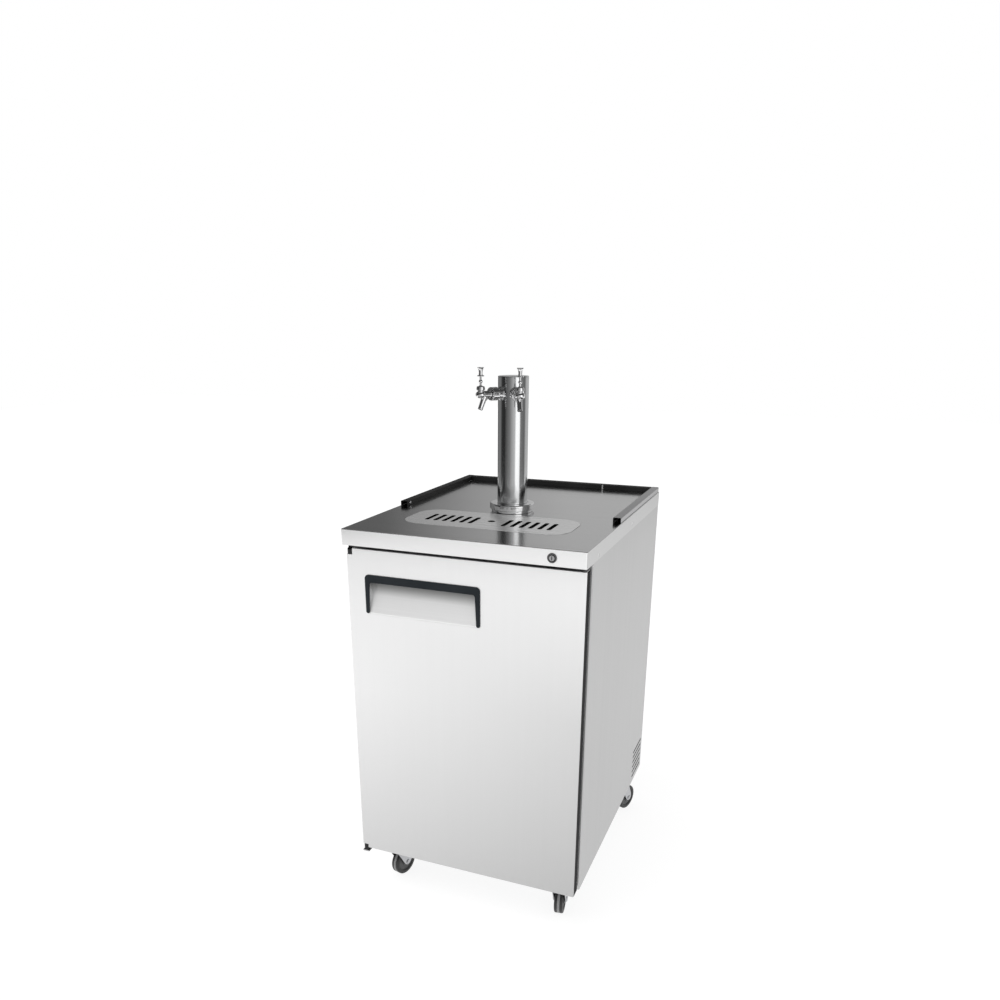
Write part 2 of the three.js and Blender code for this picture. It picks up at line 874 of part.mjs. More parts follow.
const worktopOutline = roundedRectangle(
  -worktopWidth / 2, worktopWidth / 2, worktopFront, worktopRear, worktopCornerRadius,
);
const worktopBlock = shifted(
  solid(easedBlock(worktopOutline, bandHeight + cutOverrun, worktopEdgeRadius)),
  0, 0, bandBottom - cutOverrun,
);
const worktopUnder = raised(
  roundedRectangle(
    -worktopWidth / 2 + worktopSheet,
    worktopWidth / 2 - worktopSheet,
    worktopFront + worktopSheet,
    worktopRear - worktopSheet,
    worktopCornerRadius - worktopSheet,
  ),
  bandBottom - cutOverrun * 2,
  worktopHeight - worktopSheet,
);
const worktopTrim = box(
  -worktopWidth, worktopWidth, -worktopDepth, worktopDepth, bandBottom - cutOverrun * 2, bandBottom,
);
const lockHole = shifted(
  alongY(disc(lockBodyRadius + seatGap, -cutOverrun, worktopSheet + cutOverrun, smallRound)),
  lockX, worktopFront, lockZ,
);
const worktop = cut(
  worktopBlock,
  worktopTrim,
  worktopUnder,
  raised(trayOutline(grilleEdgeGap), bandBottom, worktopHeight + cutOverrun, trayCornerSteps),
  towerHole,
  lockHole,
);
add('worktop', worktop, worktopSteel);

// Guard rails: folded channels that stand on the worktop, open at their front ends

const railMiddle = railSheet / 2;
const railFoot = worktopHeight + seatGap;
const railHead = railFoot + railHeight - railMiddle;
const railOuterX = worktopWidth / 2 - railInset;
const railRear = worktopRear - railInset;
const sideRailSection = foldedSheet([
  [railOuterX - railMiddle, railFoot],
  [railOuterX - railMiddle, railHead],
  [railOuterX - railWidth + railMiddle, railHead],
  [railOuterX - railWidth + railMiddle, railFoot],
], railSheet, railBend);
const sideRail = runY(sideRailSection, railFrontY, railRear);
add('right_rail', sideRail, worktopSteel);
add('left_rail', moved(sideRail, mirrorX), worktopSteel);
const rearRailHalf = railOuterX - railWidth - seatGap;
const rearRailSection = foldedSheet([
  [railRear - railMiddle, railFoot],
  [railRear - railMiddle, railHead],
  [railRear - railWidth + railMiddle, railHead],
  [railRear - railWidth + railMiddle, railFoot],
], railSheet, railBend);
add('rear_rail', runX(rearRailSection, -rearRailHalf, rearRailHalf), worktopSteel);

// Drip pan hung under the cut-out, and the slotted plate that lies flush in it

const panFlangePlate = raised(trayOutline(panFlange), panFlangeBottom, panFlangeTop, trayCornerSteps);
const panWall = raised(trayOutline(-panLedge), panFloorBottom, panFlangeTop, trayCornerSteps);
const panHollow = raised(
  trayOutline(-panLedge - panSheet), panFloorTop, panFlangeTop + cutOverrun, trayCornerSteps,
);
const drain = shifted(
  disc(drainOuterRadius, panFloorBottom - drainLength, panFloorBottom + panSheet / 2, smallRound),
  0, trayCentreY, 0,
);
const drainBore = shifted(
  disc(drainBoreRadius, panFloorBottom - drainLength - cutOverrun, panFloorTop + cutOverrun, smallRound),
  0, trayCentreY, 0,
);
const dripPan = cut(union(panFlangePlate, panWall, drain), panHollow, drainBore);
add('drip_pan', dripPan, brushedSteel);

const grilleTop = worktopHeight + grilleProud;
const grilleBottom = panFlangeTop + seatGap;
let grille = raised(trayOutline(0), grilleBottom, grilleTop, trayCornerSteps);
for (const side of [-1, 1]) {
  for (let i = 0; i < grilleSlotCount; i += 1) {
    const x = side * (grilleInnerSlotX + i * grilleSlotPitch);
    const slot = roundedRectangle(
      x - grilleSlotWidth / 2,
      x + grilleSlotWidth / 2,
      grilleSlotCentreY - grilleSlotLength / 2,
      grilleSlotCentreY + grilleSlotLength / 2,
      grilleSlotWidth / 2,
    );
    grille = grille.subtract(
      raised(slot, grilleBottom - cutOverrun, grilleTop + cutOverrun, slotSteps),
    );
  }
}
grille = grille.subtract(shifted(
  disc(fingerHoleRadius, grilleBottom - cutOverrun, grilleTop + cutOverrun, smallRound), 0, trayCentreY, 0,
));
add('drip_grille', grille, brushedSteel);

// Column: floor flange, tube and cap

const tower = new THREE.Group();
tower.position.set(0, towerY, worktopHeight);
root.add(tower);

const flangeProfile = [
  [columnRadius + seatGap, seatGap],
  [flangeLowerRadius, seatGap],
  [flangeLowerRadius, flangeLowerHeight],
  [flangeRadius, flangeLowerHeight],
  ...easedRim(flangeRadius, flangeHeight, flangeEdgeRadius),
  [columnRadius + seatGap, flangeHeight],
  [columnRadius + seatGap, seatGap],
];
add('tower_flange', turned(flangeProfile, fullRound), chrome, tower);

const tapTurns = [-tapSpread / 2, tapSpread / 2];
let columnTube = turned([
  [columnRadius - columnWall, seatGap],
  [columnRadius, seatGap],
  ...easedRim(columnRadius, columnHeight, columnEdgeRadius),
  [0, columnHeight],
  [0, columnHeight - capThickness],
  [columnRadius - columnWall, columnHeight - capThickness],
  [columnRadius - columnWall, seatGap],
], fullRound);
for (const turn of tapTurns) {
  const hole = moved(
    disc(shankRadius + seatGap, 0, columnRadius + cutOverrun, smallRound),
    new THREE.Matrix4().makeRotationZ(turn).multiply(
      new THREE.Matrix4().makeTranslation(0, 0, shankHeight),
    ).multiply(new THREE.Matrix4().makeRotationX(Math.PI / 2)),
  );
  columnTube = columnTube.subtract(hole);
}
add('tower_column', columnTube, chrome, tower);

// Faucet pieces, drawn with R along -Y so that a turn about Z points each faucet outwards

function alongR(body) {
  return moved(body, new THREE.Matrix4().makeRotationX(Math.PI / 2));
}

function upright(body, r, z) {
  return shifted(body, 0, -r, z);
}

function shankBody() {
  const rod = turned([
    [shankBoreRadius, shankTailInner],
    [shankTailRadius, shankTailInner],
    [shankTailRadius, shankInner],
    [shankRadius, shankInner],
    [shankRadius, shankOuter],
    [shankBoreRadius, shankOuter],
    [shankBoreRadius, shankTailInner],
  ], smallRound);
  const collar = turned([
    [shankBoreRadius, columnRadius - columnWall],
    [collarSeatRadius, columnRadius - columnWall],
    [collarSeatRadius, collarInner + columnWall],
    [collarRadius, collarInner + columnWall * 2],
    ...easedRim(collarRadius, collarOuter, columnWall),
    [shankBoreRadius, collarOuter],
    [shankBoreRadius, columnRadius - columnWall],
  ], mediumRound);
  const columnRoom = disc(columnRadius + seatGap, -columnHeight, columnHeight, fullRound);
  const seated = alongR(collar).subtract(columnRoom);
  return union(alongR(rod), seated);
}

function couplingNutBody() {
  let nut = turned([
    [nutBoreRadius, nutInner],
    [nutRadius, nutInner],
    ...easedRim(nutRadius, nutOuter, columnWall),
    [nutMouthRadius, nutOuter],
    [nutMouthRadius, nutOuter - nutMouthLength],
    [nutBoreRadius, nutOuter - nutMouthLength],
    [nutBoreRadius, nutInner],
  ], mediumRound);
  for (let i = 0; i < nutNotchCount; i += 1) {
    const notch = box(
      -nutNotchWidth / 2, nutNotchWidth / 2,
      nutRadius - nutNotchDepth, nutRadius + cutOverrun,
      (nutInner + nutOuter - nutNotchLength) / 2, (nutInner + nutOuter + nutNotchLength) / 2,
    );
    nut = nut.subtract(moved(notch, new THREE.Matrix4().makeRotationZ(i * 2 * Math.PI / nutNotchCount)));
  }
  return alongR(nut);
}

function faucetBody() {
  const barrel = turned([
    [0, bodyInner],
    [bodyFlangeRadius, bodyInner],
    [bodyFlangeRadius, bodyInner + bodyFlangeLength],
    [bodyNeckRadius, bodyInner + bodyFlangeLength],
    [bodyNeckRadius, handleAxisR],
    [0, handleAxisR],
  ], mediumRound);
  const headTop = pivotHeight - bonnetDrop - seatGap;
  const head = turned([
    [0, -bulgeHeight / 2],
    [bulgeRadius * bulgeFootShare, -bulgeHeight / 2],
    [bulgeRadius * bulgeLowShare, -bulgeHeight * bulgeLowRiseShare],
    [bulgeRadius, 0],
    [bulgeRadius * bulgeHighShare, bulgeHeight * bulgeHighRiseShare],
    [waistRadius, waistHeight],
    [waistTopRadius, headTop],
    [0, headTop],
  ], mediumRound);
  const tilt = Math.atan2(spoutTipR - spoutTopR, spoutTopZ - spoutTipZ);
  const spoutLength = Math.hypot(spoutTipR - spoutTopR, spoutTopZ - spoutTipZ);
  const spoutTurn = new THREE.Matrix4().makeTranslation(0, -spoutTipR, spoutTipZ).multiply(
    new THREE.Matrix4().makeRotationX(-tilt),
  );
  const spout = moved(turned([
    [0, 0],
    [spoutTipRadius, 0],
    [spoutTipRadius * spoutWaistGrow, spoutLength * spoutWaistShare],
    [spoutTopRadius, spoutLength],
    [0, spoutLength],
  ], smallRound), spoutTurn);
  const spoutBore = moved(disc(spoutBoreRadius, -cutOverrun, spoutLength, smallRound), spoutTurn);
  const web = runX(shapeOf([
    [-spoutTopR, spoutTopZ],
    [-spoutTopR - (spoutTipR - spoutTopR) / 2, spoutTopZ - spoutWebDrop - spoutTipRadius],
    [-spoutTopR + spoutWebReach, spoutTopZ],
  ]), -spoutWebThickness / 2, spoutWebThickness / 2);
  const bore = alongR(disc(bodyBoreRadius, bodyInner - cutOverrun, bodyBoreEnd, smallRound));
  const seatRadius = ballRadius + ballGap;
  const seatFrom = -Math.acos(ballNarrowRadius / seatRadius);
  const well = upright(turned([
    [0, 0],
    [ballWellRadius, 0],
    [ballWellRadius, ballWellHeight],
    ...arc(seatRadius, pivotHeight, seatFrom, 0, bendSteps),
    [0, pivotHeight],
  ], smallRound), handleAxisR, 0);
  return cut(
    union(alongR(barrel), upright(head, handleAxisR, 0), spout, web),
    bore, well, spoutBore,
  );
}

function bonnetBody() {
  const low = pivotHeight - bonnetDrop;
  const high = low + bonnetHeight;
  const hollow = ballRadius + ballGap;
  const inside = arc(
    hollow, pivotHeight, Math.acos(bonnetThroatRadius / hollow), -Math.asin(bonnetDrop / hollow), cornerSteps,
  );
  return upright(turned([
    inside[cornerSteps],
    [bonnetRadius, low],
    ...easedRim(bonnetRadius, high, bonnetHeight / 3),
    [bonnetThroatRadius, high],
    ...inside,
  ], mediumRound), handleAxisR, 0);
}

// The lever turns about the centre of its ball, so it is drawn with the ball at its origin.
function leverBody() {
  const tipNeckAt = Math.acos(leverTipNeckRadius / leverTipRadius);
  const ballFrom = -Math.acos(leverTipNeckRadius / ballRadius);
  const ballTo = Math.acos(leverNeckRadius / ballRadius);
  const knobAt = Math.acos(leverNeckRadius / leverKnobRadius);
  const tip = arc(leverTipRadius, -pivotHeight, -Math.PI / 2, tipNeckAt, bendSteps + 1);
  const collarTop = leverCollarHeight + leverCollarThickness;
  return turned([
    [0, -pivotHeight - leverTipRadius],
    ...tip.slice(1),
    ...arc(ballRadius, 0, ballFrom, ballTo, bendSteps * 2 + 1),
    ...arc(leverKnobRadius, leverKnobHeight, -knobAt, knobAt, bendSteps + 1),
    [leverNeckRadius, leverCollarHeight],
    [leverCollarRadius * leverCollarShare, leverCollarHeight],
    [leverCollarRadius, leverCollarHeight + leverCollarThickness / 2],
    [leverCollarRadius * leverCollarShare, collarTop],
    [leverNeckRadius, collarTop],
    [leverNeckRadius, collarTop + leverStudLength],
    [0, collarTop + leverStudLength],
  ], smallRound);
}

function handleBody() {
  const foot = leverCollarHeight + leverCollarThickness + seatGap;
  const top = foot + handleLength;
  const socketTop = foot + leverStudLength;
  return turned([
    [leverNeckRadius + seatGap, foot],
    [handleFootRadius, foot],
    [handleWaistRadius, foot + handleLength * handleWaistShare],
    [handleFootRadius, foot + handleLength * handleMiddleShare],
    [handleTopRadius, foot + handleLength * handleEdgeShare],
    [handleTopRadius * handleRimShare, top],
    [0, top],
    [0, socketTop],
    [leverNeckRadius + seatGap, socketTop],
    [leverNeckRadius + seatGap, foot],
  ], smallRound);
}

function plungerBody() {
  const rod = turned([
    [0, plungerInner],
    [plungerRadius, plungerInner],
    [plungerRadius, plungerNeckInner],
    [plungerNeckRadius, plungerNeckInner],
    [plungerNeckRadius, plungerNeckOuter],
    [plungerRadius, plungerNeckOuter],
    [plungerRadius, plungerOuter],
    [0, plungerOuter],
  ], smallRound);
  const slot = box(
    -plungerRadius, plungerRadius,
    -handleAxisR - plungerSlotHalf, -handleAxisR + plungerSlotHalf,
    -plungerSlotFloor, plungerRadius + cutOverrun,
  );
  const flat = box(
    -plungerRadius, plungerRadius,
    -plungerOuter - cutOverrun, -handleAxisR + plungerSlotHalf + plungerFlatHalf,
    plungerFlatHeight, plungerRadius + cutOverrun,
  );
  return cut(alongR(rod), slot, flat);
}

['left', 'right'].forEach((side, index) => {
  const tap = new THREE.Group();
  tap.position.set(0, 0, shankHeight);
  tap.rotation.z = tapTurns[index];
  tower.add(tap);
  add(side + '_shank', shankBody(), chrome, tap);
  add(side + '_coupling_nut', couplingNutBody(), chrome, tap);
  add(side + '_faucet_body', faucetBody(), chrome, tap);
  add(side + '_bonnet', bonnetBody(), chrome, tap);
  add(side + '_plunger', plungerBody(), zinc, tap);
  const swing = new THREE.Group();
  swing.position.set(0, -handleAxisR, pivotHeight);
  tap.add(swing);
  add(side + '_lever', leverBody(), chrome, swing);
  add(side + '_handle', handleBody(), chrome, swing);
});

// Door: skin, insulated inner panel, gasket, hinge bushes and the recessed handle

const door = new THREE.Group();
door.position.set(hingeX, hingeY, 0);
root.add(door);
const fromHinge = new THREE.Matrix4().makeTranslation(-hingeX, -hingeY, 0);

function addDoor(name, body, finish) {
  add(name, moved(body, fromHinge), finish, door);
}

const trimLeft = trimCentreX - trimWidth / 2;
const trimRight = trimCentreX + trimWidth / 2;
const pocketLeft = trimLeft + pocketSideCover;
const pocketRight = trimRight - pocketSideCover;
const pocketTop = trimTop - pocketTopCover;
const pocketBottom = trimBottom + pocketBottomRise;

// The pocket's section in Y and Z: flush with the skin at its foot and deepest at its head.
function pocketSection(front, wall, lip) {
  return shapeOf([
    [front, pocketBottom - lip],
    [doorFront + wall, pocketBottom - lip],
    [doorFront + wall, pocketBottom],
    [doorFront + pocketDepth + wall, pocketTop - pocketTopLength],
    [doorFront + pocketDepth + wall, pocketTop + wall],
    [front, pocketTop + wall],
  ]);
}

const pocketRoom = runX(
  pocketSection(doorFront - cutOverrun, pocketWall + seatGap, pocketLip + seatGap),
  pocketLeft - pocketWall - seatGap,
  pocketRight + pocketWall + seatGap,
);

const upperNotchBottom = doorTop - upperBushLength + upperBushStraight - seatGap;
const lowerBushBottom = doorBottom - lowerPlateDrop - hingeRunningGap;
const lowerNotchTop = lowerBushBottom + lowerBushLength + seatGap;

function hingeNotch(z0, z1) {
  const reach = bushRadius + seatGap;
  return box(-doorHalf - cutOverrun, hingeX + reach, doorFront - cutOverrun, hingeY + reach, z0, z1);
}

const upperNotch = hingeNotch(upperNotchBottom, doorTop + cutOverrun);
const lowerNotch = hingeNotch(doorBottom - cutOverrun, lowerNotchTop);

const skinOutline = roundedRectangle(-doorHalf, doorHalf, doorBottom, doorTop, doorCornerRadius);
const skinBasis = new THREE.Matrix4().makeBasis(
  new THREE.Vector3(1, 0, 0),
  new THREE.Vector3(0, 0, 1),
  new THREE.Vector3(0, -1, 0),
);
const skinBlock = moved(
  solid(easedBlock(skinOutline, doorSkinDepth + cutOverrun * 2, doorEdgeRadius)),
  skinBasis.setPosition(0, doorSkinRear + cutOverrun * 2, 0),
);
const skinRearTrim = box(
  -worktopWidth, worktopWidth, doorSkinRear, doorSkinRear + cutOverrun * 4, 0, worktopHeight,
);
const skinHollow = runY(
  roundedRectangle(
    -doorHalf + doorSheet, doorHalf - doorSheet, doorBottom + doorSheet, doorTop - doorSheet,
    doorCornerRadius - doorSheet,
  ),
  doorFront + doorSheet,
  doorSkinRear + cutOverrun,
);
addDoor('door_skin', cut(skinBlock, skinRearTrim, skinHollow, pocketRoom, upperNotch, lowerNotch), brushedSteel);

const coreInset = doorSheet + seatGap;
const core = runY(
  roundedRectangle(
    -doorHalf + coreInset, doorHalf - coreInset, doorBottom + coreInset, doorTop - coreInset,
    doorCornerRadius - doorSheet,
  ),
  doorFront + coreInset,
  doorSkinRear + seatGap * 2,
);
const innerFlange = runY(
  roundedRectangle(-doorHalf, doorHalf, doorBottom, doorTop, doorCornerRadius),
  doorSkinRear + seatGap,
  doorFlangeRear,
);
const dikeLeft = -cavityHalf + dikeInset - wallThickness / 2;
const dike = runY(
  roundedRectangle(dikeLeft, -dikeLeft, cavityFloor + dikeWidth, cavityTop - dikeWidth, dikeWidth / 2),
  doorFlangeRear - seatGap,
  doorFlangeRear + dikeHeight,
);
const dish = runY(
  roundedRectangle(
    dikeLeft + dikeWidth, -dikeLeft - dikeWidth,
    cavityFloor + dikeWidth * 2, cavityTop - dikeWidth * 2, dikeWidth / 2,
  ),
  doorFlangeRear + dikeHeight - dikeDish,
  doorFlangeRear + dikeHeight + cutOverrun,
);
addDoor(
  'door_inner_panel',
  cut(union(core, innerFlange, dike), dish, pocketRoom, upperNotch, lowerNotch),
  linerPlastic,
);

function frameRing(outerHalf, bottom, top, width, y0, y1) {
  const outer = roundedRectangle(-outerHalf, outerHalf, bottom, top, doorCornerRadius);
  outer.holes.push(roundedRectangle(
    -outerHalf + width, outerHalf - width, bottom + width, top - width, doorCornerRadius,
  ));
  return runY(outer, y0, y1, slotSteps);
}

const gasketHalf = doorHalf - gasketInset;
const gasketLow = doorBottom + gasketInset;
const gasketHigh = doorTop - gasketInset;
const gasketRoot = doorFlangeRear + seatGap;
const gasketFace = cabinetFront - seatGap;
const waistInset = (gasketWidth - gasketWaistWidth) / 2;
const magnetInset = (gasketWidth - gasketMagnetWidth) / 2;
const gasket = union(
  frameRing(gasketHalf, gasketLow, gasketHigh, gasketWidth, gasketRoot, gasketRoot + gasketBaseThickness),
  frameRing(
    gasketHalf - waistInset, gasketLow + waistInset, gasketHigh - waistInset, gasketWaistWidth,
    gasketRoot + gasketBaseThickness / 2, gasketFace - gasketMagnetThickness / 2,
  ),
  frameRing(
    gasketHalf - magnetInset, gasketLow + magnetInset, gasketHigh - magnetInset, gasketMagnetWidth,
    gasketFace - gasketMagnetThickness, gasketFace,
  ),
);
addDoor('door_gasket', gasket, rubber);

const pocketOuter = runX(
  pocketSection(doorFront, pocketWall, pocketLip), pocketLeft - pocketWall, pocketRight + pocketWall,
);
const pocketInner = runX(pocketSection(doorFront - cutOverrun, 0, 0), pocketLeft, pocketRight);
addDoor('handle_pocket', cut(pocketOuter, pocketInner), brushedSteel);

const trimOutline = new THREE.Shape();
const tipRadius = trimLegTipWidth / 2;
const innerTop = trimTop - trimBarHeight;
const innerCorner = trimCornerRadius / 2;
trimOutline.moveTo(trimLeft, trimBottom + tipRadius);
trimOutline.absarc(trimLeft + tipRadius, trimBottom + tipRadius, tipRadius, Math.PI, Math.PI * 2, false);
trimOutline.lineTo(trimLeft + trimLegTopWidth, innerTop - innerCorner);
trimOutline.absarc(
  trimLeft + trimLegTopWidth + innerCorner, innerTop - innerCorner, innerCorner, Math.PI, Math.PI / 2, true,
);
trimOutline.lineTo(trimRight - trimLegTopWidth - innerCorner, innerTop);
trimOutline.absarc(
  trimRight - trimLegTopWidth - innerCorner, innerTop - innerCorner, innerCorner, Math.PI / 2, 0, true,
);
trimOutline.lineTo(trimRight - trimLegTipWidth, trimBottom + tipRadius);
trimOutline.absarc(trimRight - tipRadius, trimBottom + tipRadius, tipRadius, Math.PI, Math.PI * 2, false);
trimOutline.lineTo(trimRight, trimTop - trimCornerRadius);
trimOutline.absarc(
  trimRight - trimCornerRadius, trimTop - trimCornerRadius, trimCornerRadius, 0, Math.PI / 2, false,
);
trimOutline.lineTo(trimLeft + trimCornerRadius, trimTop);
trimOutline.absarc(
  trimLeft + trimCornerRadius, trimTop - trimCornerRadius, trimCornerRadius, Math.PI / 2, Math.PI, false,
);
const trimBlock = moved(
  solid(easedBlock(trimOutline, trimThickness, trimThickness / 4)),
  skinBasis.clone().setPosition(0, doorFront - seatGap, 0),
);
addDoor('handle_trim', trimBlock, blackPlastic);

// Hinge bushes on the door. The upper one tapers to a rounded tip, the lower one is a short barrel.

function atHinge(body) {
  return shifted(body, hingeX, hingeY, 0);
}

const upperPlateTop = bandBottom - seatGap;
const upperPlateBottom = upperPlateTop - hingePlate;
const upperBushTop = upperPlateBottom - hingeRunningGap;
const upperBushBottom = upperBushTop - upperBushLength;
const upperPinBottom = upperBushTop - upperPinLength;
const boreRadius = hingePinRadius + hingeClearance;
const upperBush = turned([
  [0, upperBushBottom],
  [upperBushTip, upperBushBottom],
  [bushRadius, upperBushTop - upperBushStraight],
  [bushRadius, upperBushTop],
  [boreRadius, upperBushTop],
  [boreRadius, upperPinBottom - hingeRunningGap],
  [0, upperPinBottom - hingeRunningGap],
], smallRound);
const lowerBushTop = lowerBushBottom + lowerBushLength;
const lowerBore = lowerBushBottom + lowerPinLength;
const lowerBush = turned([
  [boreRadius, lowerBushBottom],
  [bushRadius, lowerBushBottom],
  [bushRadius, lowerBushTop],
  [0, lowerBushTop],
  [0, lowerBore],
  [boreRadius, lowerBore],
  [boreRadius, lowerBushBottom],
], smallRound);
addDoor('upper_bush', atHinge(upperBush), blackPaint);
addDoor('lower_bush', atHinge(lowerBush), blackPaint);

// Hinge brackets on the cabinet, each a plate with a pin at the end

const upperPlateOutline = new THREE.Shape();
upperPlateOutline.moveTo(hingeX - bushRadius, upperPlateRear);
upperPlateOutline.lineTo(hingeX - bushRadius, hingeY);
upperPlateOutline.absarc(hingeX, hingeY, bushRadius, Math.PI, Math.PI * 2, false);
upperPlateOutline.lineTo(hingeX + upperPlateReach, (hingeY + upperPlateRear) / 2);
upperPlateOutline.lineTo(hingeX + upperPlateReach, upperPlateRear);
const upperBracket = union(
  raised(upperPlateOutline, upperPlateBottom, upperPlateTop),
  atHinge(disc(hingePinRadius, upperPinBottom, upperPlateBottom + hingePlate / 2, smallRound)),
);
add('upper_hinge', upperBracket, blackPaint);

const lowerPlateTop = lowerBushBottom - hingeRunningGap;
const lowerPlateMiddle = lowerPlateTop - hingePlate / 2;
const footMiddle = baseHeight - seatGap - hingePlate / 2;
const lowerSection = foldedSheet([
  [hingeY - bushRadius, lowerPlateMiddle],
  [lowerPlateFootY - hingePlate * 2, lowerPlateMiddle],
  [lowerPlateFootY - hingePlate, footMiddle],
  [lowerPlateFootY + lowerPlateLeg, footMiddle],
], hingePlate, hingePlate / 8);
const lowerBracket = union(
  runX(lowerSection, hingeX - lowerPlateWidth / 2, hingeX + lowerPlateWidth / 2),
  atHinge(disc(hingePinRadius, lowerPlateMiddle, lowerBore - hingeRunningGap, smallRound)),
);
add('lower_hinge', lowerBracket, blackPaint);

// Lock: a barrel through the band, and a plug that turns the cam behind it

const lockFront = worktopFront - lockRingProud;
const lockBodyRear = worktopFront + worktopSheet + lockBodyLength;
const lockBarrel = turned([
  [lockPlugRadius + seatGap, 0],
  [lockRingInnerRadius, 0],
  [lockRingRadius - lockRingProud / 2, 0],
  [lockRingRadius, lockRingProud / 2],
  [lockRingRadius, lockRingProud - seatGap],
  [lockBodyRadius, lockRingProud - seatGap],
  [lockBodyRadius, lockBodyRear - lockFront],
  [lockPlugRadius + seatGap, lockBodyRear - lockFront],
  [lockPlugRadius + seatGap, 0],
], mediumRound);
add('lock_barrel', shifted(alongY(lockBarrel), lockX, lockFront, lockZ), zinc);

const plugLength = lockCamY + lockCamThickness / 2 - lockFront + lockPlugProud;
const plugRod = alongY(disc(lockPlugRadius, -lockPlugProud, plugLength - lockPlugProud, smallRound));
const keyway = box(
  -lockKeyWidth / 2, lockKeyWidth / 2, -lockPlugProud - cutOverrun, lockKeyDepth,
  -lockKeyLength / 2, lockKeyLength / 2,
);
const camRear = lockCamY + lockCamThickness / 2 - lockFront;
const cam = runY(
  roundedRectangle(
    -lockCamWidth / 2, lockCamLength, -lockCamWidth / 2, lockCamWidth / 2, lockCamWidth / 2 - seatGap,
  ),
  camRear - lockCamThickness,
  camRear,
);
const plug = new THREE.Group();
plug.position.set(lockX, lockFront, lockZ);
root.add(plug);
add('lock_plug', cut(union(plugRod, cam), keyway), chrome, plug);

// Casters: a bolted plate with its ball race, a fork with the axle, and a wheel. The front two brake.

const casterPlateTop = baseHeight - seatGap;
const raceBottom = casterPlateTop - casterPlateThickness - raceHeight;
const forkTop = raceBottom - forkGap / 2;
const crownBottom = forkTop - forkCrownThickness;

function casterPlateBody() {
  const half = casterPlateSize / 2;
  let plate = raised(
    roundedRectangle(-half, half, -half, half, casterPlateCorner),
    casterPlateTop - casterPlateThickness,
    casterPlateTop,
    slotSteps,
  );
  for (const sx of [-1, 1]) {
    for (const sy of [-1, 1]) {
      plate = plate.subtract(shifted(
        disc(casterBoltRadius, casterPlateTop - casterPlateThickness - cutOverrun,
          casterPlateTop + cutOverrun, tinyRound),
        sx * casterBoltOffset, sy * casterBoltOffset, 0,
      ));
    }
  }
  const race = turned([
    [0, raceBottom],
    [raceRadius - raceTaper, raceBottom],
    [raceRadius, raceBottom + raceTaper],
    [raceRadius, casterPlateTop - casterPlateThickness / 2],
    [0, casterPlateTop - casterPlateThickness / 2],
  ], smallRound);
  return union(plate, race);
}

// The fork trails along +Y from the swivel axis at its origin.
function forkBody(braked) {
  const crown = disc(forkCrownRadius, crownBottom, forkTop, smallRound);
  const cheek = new THREE.Shape();
  const halfTop = forkTopLength / 2;
  cheek.moveTo(-halfTop, forkTop);
  cheek.lineTo(-halfTop, crownBottom - forkCrownThickness);
  cheek.lineTo(casterTrail - forkTipRadius, wheelRadius);
  cheek.absarc(casterTrail, wheelRadius, forkTipRadius, Math.PI, Math.PI * 2, false);
  if (braked) {
    cheek.lineTo(casterTrail + brakePivotBack + brakeCheekReach, wheelRadius + brakePivotRise - brakeCheekReach);
    cheek.lineTo(casterTrail + brakePivotBack + brakeCheekReach, wheelRadius + brakePivotRise + brakeCheekReach);
    cheek.lineTo(casterTrail, forkTop);
  } else {
    cheek.lineTo(casterTrail + forkTipRadius, wheelRadius + forkTipRadius);
    cheek.lineTo(halfTop, forkTop);
  }
  const half = forkInnerWidth / 2;
  const leftCheek = runX(cheek, -half - forkSheet, -half);
  const rightCheek = runX(cheek, half, half + forkSheet);
  const top = box(-half - forkSheet, half + forkSheet, -halfTop, halfTop, crownBottom, forkTop);
  const axle = shifted(
    alongX(disc(axleRadius, -half - forkSheet / 2, half + forkSheet / 2, smallRound)),
    0, casterTrail, wheelRadius,
  );
  const head = alongX(turned([
    [0, 0],
    [axleHeadRadius, 0],
    [axleHeadRadius, axleHeadLength / 2],
    [axleHeadRadius / 2, axleHeadLength],
    [0, axleHeadLength],
  ], tinyRound));
  const rightHead = shifted(head, half + forkSheet / 2, casterTrail, wheelRadius);
  const leftHead = moved(rightHead, mirrorX);
  let fork = union(crown, top, leftCheek, rightCheek, axle, rightHead, leftHead);
  if (braked) {
    fork = fork.add(shifted(
      alongX(disc(brakePinRadius, -half - forkSheet / 2, half + forkSheet / 2, tinyRound)),
      0, casterTrail + brakePivotBack, wheelRadius + brakePivotRise,
    ));
  }
  return fork;
}

// The wheel is drawn about its axle, which runs along X.
function wheelBody() {
  const half = wheelWidth / 2;
  const hubHalf = wheelHubWidth / 2;
  const profile = [
    [wheelBoreRadius, -hubHalf],
    [wheelHubRadius, -hubHalf],
    [wheelHubRadius, -half + wheelDish],
    [wheelRadius - wheelTreadRadius, -half],
    [wheelRadius, -half + wheelTreadRadius],
    [wheelRadius, half - wheelTreadRadius],
    [wheelRadius - wheelTreadRadius, half],
    [wheelHubRadius, half - wheelDish],
    [wheelHubRadius, hubHalf],
    [wheelBoreRadius, hubHalf],
    [wheelBoreRadius, -hubHalf],
  ];
  return alongX(turned(profile, wheelRound));
}

// The pedal hangs over the back of the tyre and turns about a pin between the cheeks.
function pedalBody() {
  const half = brakePedalWidth / 2;
  const knuckle = alongX(ring(
    brakePivotRadius + brakeClearance, brakePinRadius + brakeClearance, -half, half, tinyRound,
  ));
  const arm = roundedRectangle(
    brakePivotRadius - brakeClearance, brakePedalLength,
    -brakePedalThickness / 2, brakePedalThickness / 2, brakePedalThickness / 2 - brakeClearance,
  );
  return union(knuckle, runX(arm, -half, half, slotSteps));
}

